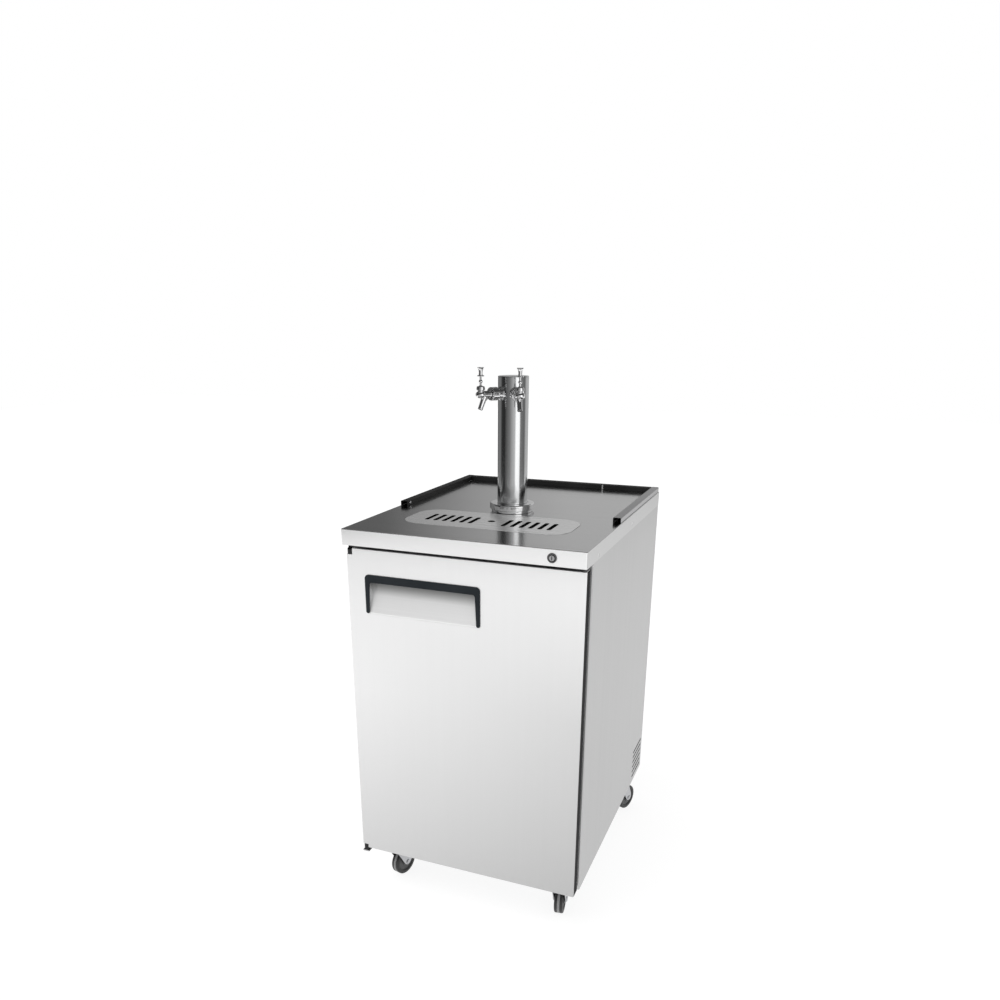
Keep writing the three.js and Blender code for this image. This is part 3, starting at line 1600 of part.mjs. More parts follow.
const casters = [
  ['front_left', -casterFrontX, casterFrontY, frontLeftTurn, true],
  ['front_right', casterFrontX, casterFrontY, frontRightTurn, true],
  ['rear_left', -casterRearX, casterRearY, rearLeftTurn, false],
  ['rear_right', casterRearX, casterRearY, rearRightTurn, false],
];
for (const [place, x, y, turn, braked] of casters) {
  const caster = new THREE.Group();
  caster.position.set(x, y, 0);
  root.add(caster);
  add(place + '_caster_plate', casterPlateBody(), zinc, caster);
  const swivel = new THREE.Group();
  swivel.rotation.z = -turn;
  caster.add(swivel);
  add(place + '_caster_fork', forkBody(braked), zinc, swivel);
  const axle = new THREE.Group();
  axle.position.set(0, casterTrail, wheelRadius);
  swivel.add(axle);
  add(place + '_caster_wheel', wheelBody(), tyre, axle);
  if (braked) {
    const pedal = new THREE.Group();
    pedal.position.set(0, casterTrail + brakePivotBack, wheelRadius + brakePivotRise);
    pedal.rotation.x = brakeAngle;
    swivel.add(pedal);
    add(place + '_brake_pedal', pedalBody(), blackPaint, pedal);
  }
}

// Evaporator cover under the ceiling, with its fan, and the thermostat knob on its face

const coverTop = linerTop - seatGap;
const coverBottom = coverTop - evaporatorHeight;
const coverRear = cavityRear - seatGap - linerSheet - evaporatorRearGap;
const coverFront = coverRear - evaporatorDepth;
const coverMiddle = (coverTop + coverBottom) / 2;
const coverHalf = evaporatorWidth / 2;
const fanCentreX = coverHalf / 3;
let cover = cut(
  box(-coverHalf, coverHalf, coverFront, coverRear, coverBottom, coverTop),
  box(
    -coverHalf + evaporatorSheet, coverHalf - evaporatorSheet,
    coverFront + evaporatorSheet, coverRear + cutOverrun,
    coverBottom + evaporatorSheet, coverTop - evaporatorSheet,
  ),
  shifted(
    alongY(disc(fanOpeningRadius, -cutOverrun, evaporatorSheet + cutOverrun, mediumRound)),
    fanCentreX, coverFront, coverMiddle,
  ),
  shifted(
    alongY(disc(knobShaftRadius + fanShaftClearance, -cutOverrun, evaporatorSheet + cutOverrun, smallRound)),
    knobX, coverFront, coverMiddle + evaporatorHeight / 4,
  ),
);
for (let i = 0; i < evaporatorSlotCount / 2; i += 1) {
  const z = coverMiddle - evaporatorHeight / 4 + (i - 1) * evaporatorSlotPitch;
  const slot = roundedRectangle(
    -evaporatorSlotX - evaporatorSlotLength, -evaporatorSlotX + evaporatorSlotLength,
    z, z + evaporatorSlotHeight, evaporatorSlotHeight / 2,
  );
  cover = cover.subtract(
    runY(slot, coverFront - cutOverrun, coverFront + evaporatorSheet + cutOverrun, slotSteps),
  );
}

// A motor held by a bridge across the opening, with the shaft that carries the rotor.
function fanMotor(bridgeHalf) {
  const motor = disc(fanMotorRadius, fanHubLength, fanHubLength + fanMotorLength, smallRound);
  const shaft = disc(fanShaftRadius, fanHubLength / 2, fanHubLength + fanMotorLength / 2, tinyRound);
  const bridge = box(
    -bridgeHalf, bridgeHalf, -fanHubRadius / 2, fanHubRadius / 2,
    fanHubLength + fanMotorLength / 2, fanHubLength + fanMotorLength / 2 + fanBladeThickness,
  );
  return union(motor, shaft, bridge);
}

function fanRotor() {
  let rotor = disc(fanHubRadius, 0, fanHubLength - fanShaftClearance, smallRound);
  const blade = box(
    fanHubRadius - fanBladeThickness, fanRadius,
    -fanBladeChord / 2, fanBladeChord / 2,
    -fanBladeThickness / 2, fanBladeThickness / 2,
  );
  const middle = (fanHubLength - fanShaftClearance) / 2;
  for (let i = 0; i < fanBladeCount; i += 1) {
    const place = new THREE.Matrix4().makeTranslation(0, 0, middle)
      .multiply(new THREE.Matrix4().makeRotationZ(i * 2 * Math.PI / fanBladeCount))
      .multiply(new THREE.Matrix4().makeRotationX(fanBladePitch));
    rotor = rotor.add(moved(blade, place));
  }
  const bore = disc(fanShaftRadius + fanShaftClearance, fanHubLength / 2 - fanShaftClearance,
    fanHubLength + cutOverrun, tinyRound);
  return rotor.subtract(bore);
}

const fanFaceY = coverFront + evaporatorSheet + fanShaftClearance;
const motorPlace = (body) => shifted(alongY(body), fanCentreX, fanFaceY, coverMiddle);
const bridgeReach = evaporatorHeight / 2 - evaporatorSheet / 2;
const bridgeTurn = new THREE.Matrix4().makeRotationZ(Math.PI / 2);
cover = union(cover, motorPlace(moved(fanMotor(bridgeReach), bridgeTurn)));
add('evaporator_cover', cover, linerPlastic);
add('evaporator_fan', motorPlace(fanRotor()), darkFrame);

let knob = turned([
  [0, 0],
  [knobRadius, 0],
  ...easedRim(knobRadius - knobGrooveRadius, knobLength, knobGrooveRadius),
  [0, knobLength],
], mediumRound);
for (let i = 0; i < knobGrooves; i += 1) {
  const a = i * 2 * Math.PI / knobGrooves;
  knob = knob.subtract(shifted(
    disc(knobGrooveRadius, knobGrooveRadius * 2, knobLength + cutOverrun, tinyRound),
    knobRadius * Math.cos(a), knobRadius * Math.sin(a), 0,
  ));
}
const knobStem = disc(knobShaftRadius, -knobShaftLength, knobLength / 2, tinyRound);
const knobBody = moved(union(knob, knobStem), new THREE.Matrix4().makeRotationX(Math.PI / 2));
add(
  'thermostat_knob',
  shifted(knobBody, knobX, coverFront - seatGap, coverMiddle + evaporatorHeight / 4),
  darkFrame,
);

// Compressor, and the condenser with its fan, on the base pan in the bay under the step

const bayMiddle = (stepFront + foamRear) / 2;
const bayFloor = baseTop + seatGap;
const shellFoot = compressorFootHeight + compressorPlate;
const seamBottom = shellFoot + compressorHeight / 2;
const shell = turned([
  [0, shellFoot],
  [compressorRadius * shellFootShare, shellFoot],
  [compressorRadius, shellFoot + compressorHeight * shellSwellShare],
  [compressorRadius, seamBottom],
  [compressorRadius + compressorSeam, seamBottom],
  [compressorRadius + compressorSeam, seamBottom + compressorSeamHeight],
  [compressorRadius, seamBottom + compressorSeamHeight],
  [compressorRadius, shellFoot + compressorHeight * shellShoulderShare],
  [compressorRadius * shellCrownShare, shellFoot + compressorHeight * shellCrownRiseShare],
  [compressorRadius * shellTopShare, shellFoot + compressorHeight],
  [0, shellFoot + compressorHeight],
], mediumRound);
const footReach = compressorFootSpan / 2 + compressorFootRadius;
let compressor = union(shell, raised(
  roundedRectangle(-footReach, footReach, -footReach, footReach, compressorFootRadius),
  compressorFootHeight,
  compressorFootHeight + compressorPlate,
));
for (const sx of [-1, 1]) {
  for (const sy of [-1, 1]) {
    compressor = compressor.add(shifted(
      disc(compressorFootRadius - compressorPlate, 0, compressorFootHeight + compressorPlate / 2, tinyRound),
      sx * compressorFootSpan / 2, sy * compressorFootSpan / 2, 0,
    ));
  }
}
add('compressor', shifted(compressor, compressorX, bayMiddle, bayFloor), blackPaint);

const condenserLow = bayFloor;
const condenserHigh = bayFloor + condenserHeight;
const finPitch = (condenserDepth - condenserFinThickness) / (condenserFins - 1);
const condenserFront = bayMiddle - condenserDepth / 2;
const finTips = [];
const finRoots = [];
for (let i = 0; i < condenserFins; i += 1) {
  const y = condenserFront + i * finPitch;
  const near = condenserX + condenserWidth / 2 - condenserTubeRadius;
  const far = condenserX + condenserWidth / 2 + condenserTubeRadius;
  finTips.push([condenserX, y], [condenserX, y + condenserFinThickness], [near, y + condenserFinThickness]);
  finRoots.push([far, y], [condenserX + condenserWidth, y]);
  finRoots.push([condenserX + condenserWidth, y + condenserFinThickness]);
  finRoots.push([far, y + condenserFinThickness]);
  if (i < condenserFins - 1) finTips.push([near, y + finPitch]);
}
const condenser = raised(shapeOf([...finTips, ...finRoots.reverse()]), condenserLow, condenserHigh);
const condenserMiddle = (condenserLow + condenserHigh) / 2;
const rotorX = condenserX - condenserFanGap;
const fanBase = box(
  rotorX - fanHubLength - fanMotorLength, condenserX + condenserWidth / 2,
  bayMiddle - condenserBracketWidth / 2, bayMiddle + condenserBracketWidth / 2,
  bayFloor, bayFloor + condenserFinThickness,
);
const bracketX = rotorX - fanHubLength - fanMotorLength / 2;
const fanPost = box(
  bracketX - fanBladeThickness, bracketX,
  bayMiddle - fanHubRadius, bayMiddle + fanHubRadius,
  bayFloor, condenserMiddle,
);
const towardsCompressor = new THREE.Matrix4().makeRotationY(-Math.PI / 2);
const condenserMotor = shifted(moved(union(
  disc(fanMotorRadius, fanHubLength, fanHubLength + fanMotorLength, smallRound),
  disc(fanShaftRadius, fanHubLength / 2, fanHubLength + fanMotorLength / 2, tinyRound),
), towardsCompressor), rotorX, bayMiddle, condenserMiddle);
add('condenser', union(condenser, fanBase, fanPost, condenserMotor), finMetal);
add(
  'condenser_fan',
  shifted(moved(fanRotor(), towardsCompressor), rotorX, bayMiddle, condenserMiddle),
  darkFrame,
);

export default root;
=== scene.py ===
# %% [markdown]
# This lesson dresses a two-tap draught beer cooler: a stainless cabinet on casters, a worktop with a
# drip tray and guard rails, and a steel column with two faucets. The solids come in as a fixed
# frame. Flat sheet pieces keep their solids and get new materials. Round and moulded pieces are
# rebuilt with smooth surfaces on the same places, and small hardware is added with Geometry Nodes.

# %% Load the frame
import json
import math

import bmesh
import bpy
from mathutils import Matrix, Vector

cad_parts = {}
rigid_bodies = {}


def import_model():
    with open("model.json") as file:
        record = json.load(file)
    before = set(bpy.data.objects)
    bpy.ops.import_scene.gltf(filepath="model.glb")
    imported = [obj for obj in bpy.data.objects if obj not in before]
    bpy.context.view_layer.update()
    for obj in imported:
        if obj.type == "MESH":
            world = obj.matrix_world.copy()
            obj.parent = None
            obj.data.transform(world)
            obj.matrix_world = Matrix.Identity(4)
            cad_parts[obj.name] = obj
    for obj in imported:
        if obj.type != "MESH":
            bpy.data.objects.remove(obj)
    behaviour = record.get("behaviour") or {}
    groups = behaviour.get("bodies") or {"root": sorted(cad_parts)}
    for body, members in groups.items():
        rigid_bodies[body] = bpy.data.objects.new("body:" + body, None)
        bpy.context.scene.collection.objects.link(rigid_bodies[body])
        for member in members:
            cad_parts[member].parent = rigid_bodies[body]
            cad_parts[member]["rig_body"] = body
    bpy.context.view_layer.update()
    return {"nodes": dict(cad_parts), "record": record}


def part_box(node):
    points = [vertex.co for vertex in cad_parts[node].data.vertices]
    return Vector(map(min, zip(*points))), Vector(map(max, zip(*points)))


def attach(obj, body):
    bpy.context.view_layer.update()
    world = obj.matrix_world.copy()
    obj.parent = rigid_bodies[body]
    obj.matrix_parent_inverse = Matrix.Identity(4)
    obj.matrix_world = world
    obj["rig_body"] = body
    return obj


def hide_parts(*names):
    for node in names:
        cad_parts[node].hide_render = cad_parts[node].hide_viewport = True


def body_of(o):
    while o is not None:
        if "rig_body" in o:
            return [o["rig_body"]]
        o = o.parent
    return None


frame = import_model()
nodes = frame["nodes"]

# %% [markdown]
# Blender keeps an object and its data apart, and works out modifiers only when asked. Two helpers
# serve all the way through: one puts new data in the scene, and one gives the worked-out mesh.


# %% Helpers
def placed(name, data):
    """A new object in the scene."""
    item = bpy.data.objects.new(name, data)
    bpy.context.scene.collection.objects.link(item)
    return item


def baked(item):
    """The mesh of an object once its modifiers or its curve are worked out."""
    return bpy.data.meshes.new_from_object(item.evaluated_get(bpy.context.evaluated_depsgraph_get()))


# %% [markdown]
# The camera stands to the right of the door and looks down a little. The lens and the shift are
# those of the photograph, which shows the object low in a square frame.

# %% Camera
photo_side = 1000.0
focal_pixels = 845.7
principal_x = 486.4
principal_y = 640.0
top_z = 1010.0
camera_x, camera_y, camera_rise = 0.752, -2.064, 0.441
looks_down, turned_left = 20.21, 22.05
sensor_width = 36.0

camera_data = bpy.data.cameras.new("camera")
camera = placed("camera", camera_data)
camera_data.sensor_fit = "HORIZONTAL"
camera_data.sensor_width = sensor_width
camera_data.lens = sensor_width * focal_pixels / photo_side
camera_data.shift_x = 0.5 - principal_x / photo_side
camera_data.shift_y = principal_y / photo_side - 0.5
camera_data.clip_end = 100.0
camera.location = (camera_x, camera_y, top_z / 1000 + camera_rise)
camera.rotation_euler = (math.radians(90 - looks_down), 0.0, math.radians(turned_left))
bpy.context.scene.camera = camera
print("lens", round(camera_data.lens, 2), "mm")

# %% [markdown]
# Materials and geometry nodes are trees of nodes. `Tree` adds any node in one call and returns one
# of its outputs as a `Wire`. On wires, plain +, -, * and / add Math nodes, so that a pattern can be
# written as an expression. `Paint` is the tree of one material.


# %% Node trees
def sign_for(operation, swapped=False):
    """The method behind an arithmetic sign, with the wire second where it is swapped."""
    def apply(self, other):
        return self.tree.maths(operation, *((other, self) if swapped else (self, other)))
    return apply


class Wire:
    """An output of a node, on which arithmetic adds Math nodes."""

    __add__, __radd__ = sign_for("ADD"), sign_for("ADD", swapped=True)
    __sub__, __rsub__ = sign_for("SUBTRACT"), sign_for("SUBTRACT", swapped=True)
    __mul__, __rmul__ = sign_for("MULTIPLY"), sign_for("MULTIPLY", swapped=True)
    __truediv__ = sign_for("DIVIDE")

    def __init__(self, tree, socket):
        self.tree, self.socket = tree, socket

    def clamped(self):
        return self.tree.maths("ADD", self, 0.0, clamp=True)

    def power(self, exponent):
        return self.tree.maths("POWER", self, exponent)

    def over(self, low, high):
        """0 below low, 1 above high, and a straight ramp between."""
        return ((self - low) / (high - low)).clamped()


class Tree:
    """A node tree, with one call that adds a node, sets it and feeds its inputs."""

    def __init__(self, tree):
        self.tree = tree

    def feed(self, socket, value):
        """Gives an input a plain value, a wire or a list of wires."""
        for entry in value if isinstance(value, list) else [value]:
            if isinstance(entry, Wire):
                self.tree.links.new(entry.socket, socket)
            else:
                socket.default_value = entry

    def node(self, kind, settings=None, output=0, numbered=None, **named):
        """Adds a node, with inputs by number or by name, and returns one of its outputs."""
        node = self.tree.nodes.new(kind)
        for key, value in (settings or {}).items():
            setattr(node, key, value)
        values = {key.replace("_", " "): value for key, value in named.items()}
        for key, value in {**(numbered or {}), **values}.items():
            self.feed(node.inputs[key], value)
        return Wire(self, node.outputs[output])

    def maths(self, operation, *values, clamp=False):
        settings = {"operation": operation, "use_clamp": clamp}
        return self.node("ShaderNodeMath", settings, numbered=dict(enumerate(values)))


class Paint(Tree):
    """One procedural material, with short calls for the nodes that most finishes need."""

    def __init__(self, name, colour, metallic=0.0, roughness=0.5, **fixed):
        self.material = bpy.data.materials.new(name)
        self.material.use_nodes = True
        super().__init__(self.material.node_tree)
        self.shader = self.tree.nodes["Principled BSDF"]
        self.end = self.tree.nodes["Material Output"].inputs["Surface"]
        self.surface(Base_Color=(*colour, 1.0), Metallic=metallic, Roughness=roughness, **fixed)
        self.place = self.node("ShaderNodeTexCoord", output="Object")

    def surface(self, **values):
        """Gives inputs of the shader a value or a wire."""
        for key, value in values.items():
            self.feed(self.shader.inputs[key.replace("_", " ")], value)

    def stretched(self, scale):
        """Object coordinates stretched by a scale along each axis."""
        return self.node("ShaderNodeMapping", Vector=self.place, Scale=scale)

    def noise(self, scale, detail=2.0, at=None, roughness=0.5):
        return self.node(
            "ShaderNodeTexNoise", output="Fac",
            Vector=at or self.place, Scale=scale, Detail=detail, Roughness=roughness,
        )

    def cells(self, scale):
        return self.node(
            "ShaderNodeTexVoronoi", {"feature": "F1"}, "Distance", Vector=self.place, Scale=scale,
        )

    def axis(self, name):
        return self.node("ShaderNodeSeparateXYZ", output=name, Vector=self.place)

    def mixed(self, factor, first, second):
        """A colour between two others, by a factor."""
        inputs = {0: factor, 6: (*first, 1.0), 7: (*second, 1.0)}
        return self.node("ShaderNodeMix", {"data_type": "RGBA"}, 2, inputs)

    def scaled(self, colour, factor):
        """A colour made darker by a factor that varies."""
        return self.node(
            "ShaderNodeVectorMath", {"operation": "SCALE"}, "Vector", Vector=colour, Scale=factor,
        )

    def bump(self, height, strength, distance):
        self.surface(Normal=self.node(
            "ShaderNodeBump", output="Normal", Height=height, Strength=strength, Distance=distance,
        ))


# %% [markdown]
# Brushed stainless sheet is a metal with very fine scratches that all run one way. Noise that is
# stretched a hundred times along the grain gives the scratches. They move the roughness and tilt the
# normal a little, and a broad soft noise keeps large panels from looking like paint.


# %% Brushed sheet
def grey(value):
    return (value, value, value)


def along_grain(grain, across, along):
    """Noise scales for a pattern that is stretched along one axis."""
    return tuple(along if axis == grain else across for axis in range(3))


def brushed(name, tone, grain, roughness, streak=0.018, handling=0.04, relief=0.04, wear=0.16,
            shade=None, metallic=1.0):
    """Brushed metal, with scratches along X, Y or Z for a grain of 0, 1 or 2.

    streak varies the tone and handling the gloss. relief and wear are how far the scratches tilt the
    normal and change the gloss, and shade is a painted shade that dims the tone over the sheet.
    """
    paint = Paint(name, tone, metallic=metallic, roughness=roughness)
    fine, broad = along_grain(grain, 520.0, 3.0), along_grain(grain, 60.0, 0.8)
    scratches = paint.noise(1.0, detail=3.0, at=paint.stretched(fine), roughness=0.7)
    bands = paint.noise(1.0, detail=2.0, at=paint.stretched(broad))
    cloud = paint.noise(2.3, detail=3.0)
    darker = tuple(channel * (1.0 - 2.2 * streak) for channel in tone)
    paler = tuple(min(1.0, channel * (1.0 + streak)) for channel in tone)
    blend = (scratches * 0.55 + bands * 0.45).over(0.3, 0.7)
    colour = paint.mixed(blend, darker, paler)
    paint.surface(
        Base_Color=paint.scaled(colour, shade(paint)) if shade else colour,
        Roughness=roughness + (scratches - 0.5) * wear + (cloud - 0.5) * handling,
    )
    paint.bump(scratches, relief, 0.0002)
    return paint.material


def door_shade(paint):
    """Painted shade: the door is painted paler towards its head and a little darker to the foot on the lock
    side.
    """
    foot_tone, tone_per_metre, lock_side_loss = 0.545, 0.44, 0.42
    height = paint.axis("Z")
    below = 1.0 - height.over(0.60, 0.90)
    return (foot_tone + height * tone_per_metre) * (1.0 - paint.axis("X") * below * lock_side_loss)


def pocket_shade(paint):
    """The lip above keeps the light off the head of the recess."""
    pocket_head, drops_per_metre, darkest = 0.8835, 28.0, 0.07
    drop = (pocket_head - paint.axis("Z")) * drops_per_metre
    return darkest + (1.0 - darkest) * drop.clamped().power(0.72)


# All the sheet is one stainless steel. Its tones are painted light and shade for how each face is lit: the
# door, the handle's recess and the apron are painted pale, and the worktop's face, its flanks and the side
# panels darker. The door and the recess also carry painted shade over their height.
door_steel = brushed("door_stainless", grey(0.97), 2, roughness=0.32, streak=0.005, handling=0.02,
                     relief=0.012, wear=0.05, shade=door_shade, metallic=0.7)
apron_steel = brushed("apron_stainless", grey(0.93), 0, roughness=0.30, streak=0.003, handling=0.01,
                      relief=0.005, wear=0.03, metallic=0.7)
flank_steel = brushed("flank_stainless", grey(0.60), 1, roughness=0.40)
# Painted shade: near black on the door's edges and back, for the shade in the gap round the door.
door_gap_shade = brushed("edge_stainless", (0.02, 0.02, 0.021), 2, roughness=0.75)
pocket_steel = brushed("pocket_stainless", grey(0.98), 0, roughness=0.42, shade=pocket_shade, metallic=0.4)
side_steel = brushed("side_stainless", grey(0.53), 2, roughness=0.42)
band_steel = brushed("worktop_stainless", grey(0.59), 0, roughness=0.165, streak=0.03)
plate_steel = brushed("tray_stainless", grey(0.66), 0, roughness=0.26, streak=0.03, metallic=0.6)
rail_steel = brushed("rail_stainless", (0.34, 0.34, 0.345), 1, roughness=0.30, streak=0.04)
# Painted shade: near black on the walls of the grille's slots and finger hole and in the countersinks.
hollow_shade = brushed("slot_stainless", grey(0.02), 0, roughness=0.5)
# Painted shade: the drip pan is dark for the shade under the grille.
pan_shade = brushed("pan_stainless", grey(0.14), 0, roughness=0.35, streak=0.03)
print("materials so far", len(bpy.data.materials))

# %% [markdown]
# The polished parts are a mirror with the faint cloudiness of buffing. The column is polished less
# finely than the faucets: its lines run up and down, so a reflection smears along its height.


# %% Chrome, zinc and column
def polished(name, tone, roughness, cloud_strength=0.05):
    """A mirror finish. cloud_strength is how much the gloss varies."""
    paint = Paint(name, tone, metallic=1.0, roughness=roughness)
    cloud = paint.noise(38.0, detail=4.0)
    swirl = paint.noise(260.0, detail=2.0)
    soft = tuple(channel * 0.93 for channel in tone)
    paint.surface(
        Base_Color=paint.mixed(cloud.over(0.35, 0.65), soft, tone),
        Roughness=roughness + (cloud - 0.4) * cloud_strength,
    )
    paint.bump(swirl, 0.015, 0.0002)
    return paint.material


chrome = polished("faucet_chrome", (0.80, 0.80, 0.805), 0.05)
flange_chrome = polished("flange_chrome", (0.84, 0.84, 0.845), 0.12)
column_steel = brushed("column_stainless", (0.66, 0.665, 0.67), 2, roughness=0.13, streak=0.03, relief=0.02)


def zinc_plated(name, tone):
    """Zinc, with the dull cells of its coating."""
    paint = Paint(name, tone, metallic=1.0, roughness=0.34)
    cells = paint.cells(170.0)
    cloud = paint.noise(22.0, detail=4.0)
    dull = tuple(channel * 0.72 for channel in tone)
    spangle = (cloud * 0.7 + cells * 0.5).over(0.3, 0.8)
    paint.surface(Base_Color=paint.mixed(spangle, tone, dull), Roughness=0.26 + cloud * 0.2)
    paint.bump(cells, 0.05, 0.0003)
    return paint.material


zinc = zinc_plated("zinc_plate", (0.66, 0.67, 0.69))
bright_zinc = polished("bright_zinc", (0.50, 0.505, 0.52), 0.2, cloud_strength=0.3)
flush_steel = polished("flush_screw_steel", grey(0.96), 0.34)
screw_steel = polished("screw_steel", (0.72, 0.72, 0.73), 0.22)
print("materials so far", len(bpy.data.materials))

# %% [markdown]
# Plastics, rubber, foam and paint are not metals: the colour is in the surface and the light only
# glances off it. Each one gets the grain that its making leaves, such as a moulded texture.


# %% Plastics, rubber, foam and paint
def moulded(name, tone, roughness, grain=900.0, relief=0.12, spread=0.12, **fixed):
    """A moulded or painted surface. grain and relief are those of its texture, spread its wear."""
    paint = Paint(name, tone, roughness=roughness, **fixed)
    pebble = paint.noise(grain, detail=2.0)
    cloud = paint.noise(9.0, detail=3.0)
    worn = tuple(min(1.0, channel * (1.0 + spread) + 0.01) for channel in tone)
    paint.surface(
        Base_Color=paint.mixed(cloud.over(0.4, 0.75), tone, worn),
        Roughness=roughness + (pebble - 0.5) * 0.12 + (cloud - 0.5) * 0.08,
    )
    paint.bump(pebble, relief, 0.0003)
    return paint.material


trim_black = moulded("trim_plastic", (0.0105, 0.0145, 0.0185), 0.34, relief=0.05, Specular_IOR_Level=0.16)
dark_plastic = moulded("dark_plastic", (0.018, 0.019, 0.021), 0.5, Specular_IOR_Level=0.3)
# Painted shade: near black for the rails' inner sides, front ends and the tops of the left and rear rails.
rail_shade = moulded("rail_seal", grey(0.012), 0.5, Specular_IOR_Level=0.2)
liner_white = moulded("liner_plastic", (0.82, 0.83, 0.835), 0.36, grain=500.0, relief=0.05, spread=0.03)
gasket_black = moulded("gasket_rubber", (0.012, 0.012, 0.013), 0.62, grain=1400.0, Specular_IOR_Level=0.3)
tyre_rubber = moulded("tyre", (0.012, 0.012, 0.0125), 0.45, grain=700.0, relief=0.2, spread=0.6)
# Painted highlight: a paler band round the middle of the tread.
tread_band = moulded("tread_band", (0.26, 0.26, 0.262), 0.35, grain=700.0, spread=0.3)
hub_plastic = moulded("hub_plastic", (0.075, 0.076, 0.078), 0.42, grain=600.0)
black_paint = moulded("black_paint", (0.014, 0.014, 0.016), 0.30, grain=320.0, relief=0.16)


def foamed():
    paint = Paint("rigid_foam", (0.80, 0.74, 0.52), roughness=0.9)
    pores = paint.cells(420.0)
    cloud = paint.noise(14.0, detail=4.0)
    blend = (cloud * 0.8 + pores * 0.6).over(0.3, 0.9)
    paint.surface(Base_Color=paint.mixed(blend, (0.84, 0.79, 0.60), (0.70, 0.60, 0.36)))
    paint.bump(pores, 0.4, 0.0008)
    return paint.material


foam = foamed()


def finned():
    paint = Paint("coil_fins", (0.62, 0.60, 0.57), metallic=1.0, roughness=0.4)
    lines = paint.node(
        "ShaderNodeTexWave", {"wave_type": "BANDS", "bands_direction": "Y"}, "Fac",
        Vector=paint.place, Scale=230.0,
    )
    dust = paint.noise(30.0, detail=5.0)
    clean, dusty = (0.64, 0.62, 0.59), (0.30, 0.28, 0.26)
    paint.surface(
        Base_Color=paint.mixed(dust.over(0.45, 0.8), clean, dusty), Roughness=0.34 + dust * 0.3,
    )
    paint.bump(lines, 0.2, 0.0004)
    return paint.material


fin_metal = finned()
copper = polished("copper_pipe", (0.72, 0.38, 0.24), 0.22, cloud_strength=0.2)
print("materials", len(bpy.data.materials))

# %% [markdown]
# Every solid that stays visible gets its finish here. The pieces that are rebuilt further down take
# the same finishes, so that they match the solids beside them.

# %% Finishes for the solids
finish_of = {}
for finish, solids in (
    (zinc, "base_pan back_panel"), (side_steel, "left_side_panel right_side_panel"),
    (foam, "insulation"), (liner_white, "liner evaporator_cover door_inner_panel"),
    (dark_plastic, "front_frame evaporator_fan thermostat_knob condenser_fan"),
    (apron_steel, "worktop"), (rail_steel, "left_rail right_rail rear_rail"), (pan_shade, "drip_pan"),
    (plate_steel, "drip_grille"), (flange_chrome, "tower_flange"), (column_steel, "tower_column"),
    (black_paint, "compressor upper_hinge lower_hinge upper_bush lower_bush"), (fin_metal, "condenser"),
    (door_steel, "door_skin"), (gasket_black, "door_gasket"), (trim_black, "handle_trim"),
    (pocket_steel, "handle_pocket"),
):
    finish_of.update((solid, finish) for solid in solids.split())
finish_by_ending = {
    "caster_wheel": tyre_rubber, "caster_fork": bright_zinc, "caster_plate": bright_zinc,
    "brake_pedal": black_paint, "plunger": zinc,
}
for name, node in nodes.items():
    by_ending = (finish for ending, finish in finish_by_ending.items() if name.endswith(ending))
    node.data.materials.clear()
    node.data.materials.append(finish_of.get(name) or next(by_ending, chrome))
print("solids with a finish", len(nodes))

# %% [markdown]
# Rebuilt pieces are plain meshes. `keep` turns a bmesh into an object at the origin, shades it
# smooth except across sharp edges, ties it to the body that it rides on and, by default, hides the
# solid that it stands for.


# %% Making pieces
slot_of = {entry["node"]: entry["material_slot"] for entry in frame["record"]["subparts"]}
pieces_made = []


def as_mesh(name, shape):
    """The mesh of a bmesh, which is used up by it."""
    mesh = bpy.data.meshes.new(name)
    shape.to_mesh(mesh)
    shape.free()
    return mesh


def smoothed(mesh, sharp):
    """Shades a mesh smooth, except across edges sharper than an angle in degrees."""
    mesh.shade_smooth()
    mesh.set_sharp_from_angle(angle=math.radians(sharp))
    return mesh


def keep(name, shape, material, like, stands_in=True, sharp=32.0):
    """Makes a bmesh a piece that rides with the solid `like` and, by default, stands in for it."""
    bmesh.ops.recalc_face_normals(shape, faces=shape.faces)
    return keep_mesh(name, as_mesh(name, shape), material, like, stands_in, sharp)


def keep_mesh(name, mesh, material, like, stands_in=True, sharp=32.0):
    """The same for a mesh. The material may be a list, or None where the mesh has its own."""
    piece = placed(name, mesh)
    if material is not None:
        if mesh.materials:
            mesh.materials.clear()
        for entry in material if isinstance(material, list) else [material]:
            mesh.materials.append(entry)
    smoothed(mesh, sharp)
    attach(piece, body_of(nodes[like])[0])
    slot_of[like]
    if stands_in:
        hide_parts(like)
    pieces_made.append(piece)
    return piece


def millimetres(*values):
    return tuple(value / 1000.0 for value in values)


def box_mm(node):
    """The lowest and highest corner of a solid's box, in millimetres."""
    low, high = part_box(node)
    return low * 1000, high * 1000


def lathe(shape, profile, segments, place=Matrix.Identity(4), material=0):
    """Adds a profile of (radius, height) in millimetres, turned about Z and then placed."""
    rings = []
    for radius, height in profile:
        if radius < 1e-6:
            rings.append([shape.verts.new(place @ Vector((0, 0, height / 1000)))])
            continue
        ring = []
        for step in range(segments):
            angle = 2 * math.pi * step / segments
            point = Vector((radius * math.cos(angle), radius * math.sin(angle), height)) / 1000
            ring.append(shape.verts.new(place @ point))
        rings.append(ring)
    for low, high in zip(rings, rings[1:]):
        for step in range(segments):
            after = (step + 1) % segments
            corners = []
            for ring, picks in ((low, (step, after)), (high, (after, step))):
                for pick in picks if len(ring) > 1 else picks[:1]:
                    corners.append(ring[pick % len(ring)])
            if len(corners) > 2:
                shape.faces.new(corners).material_index = material
    return rings


def turned_piece(name, like, material, profile, segments, place):
    """A piece that is one turned profile."""
    shape = bmesh.new()
    lathe(shape, profile, segments, place)
    return keep(name, shape, material, like)


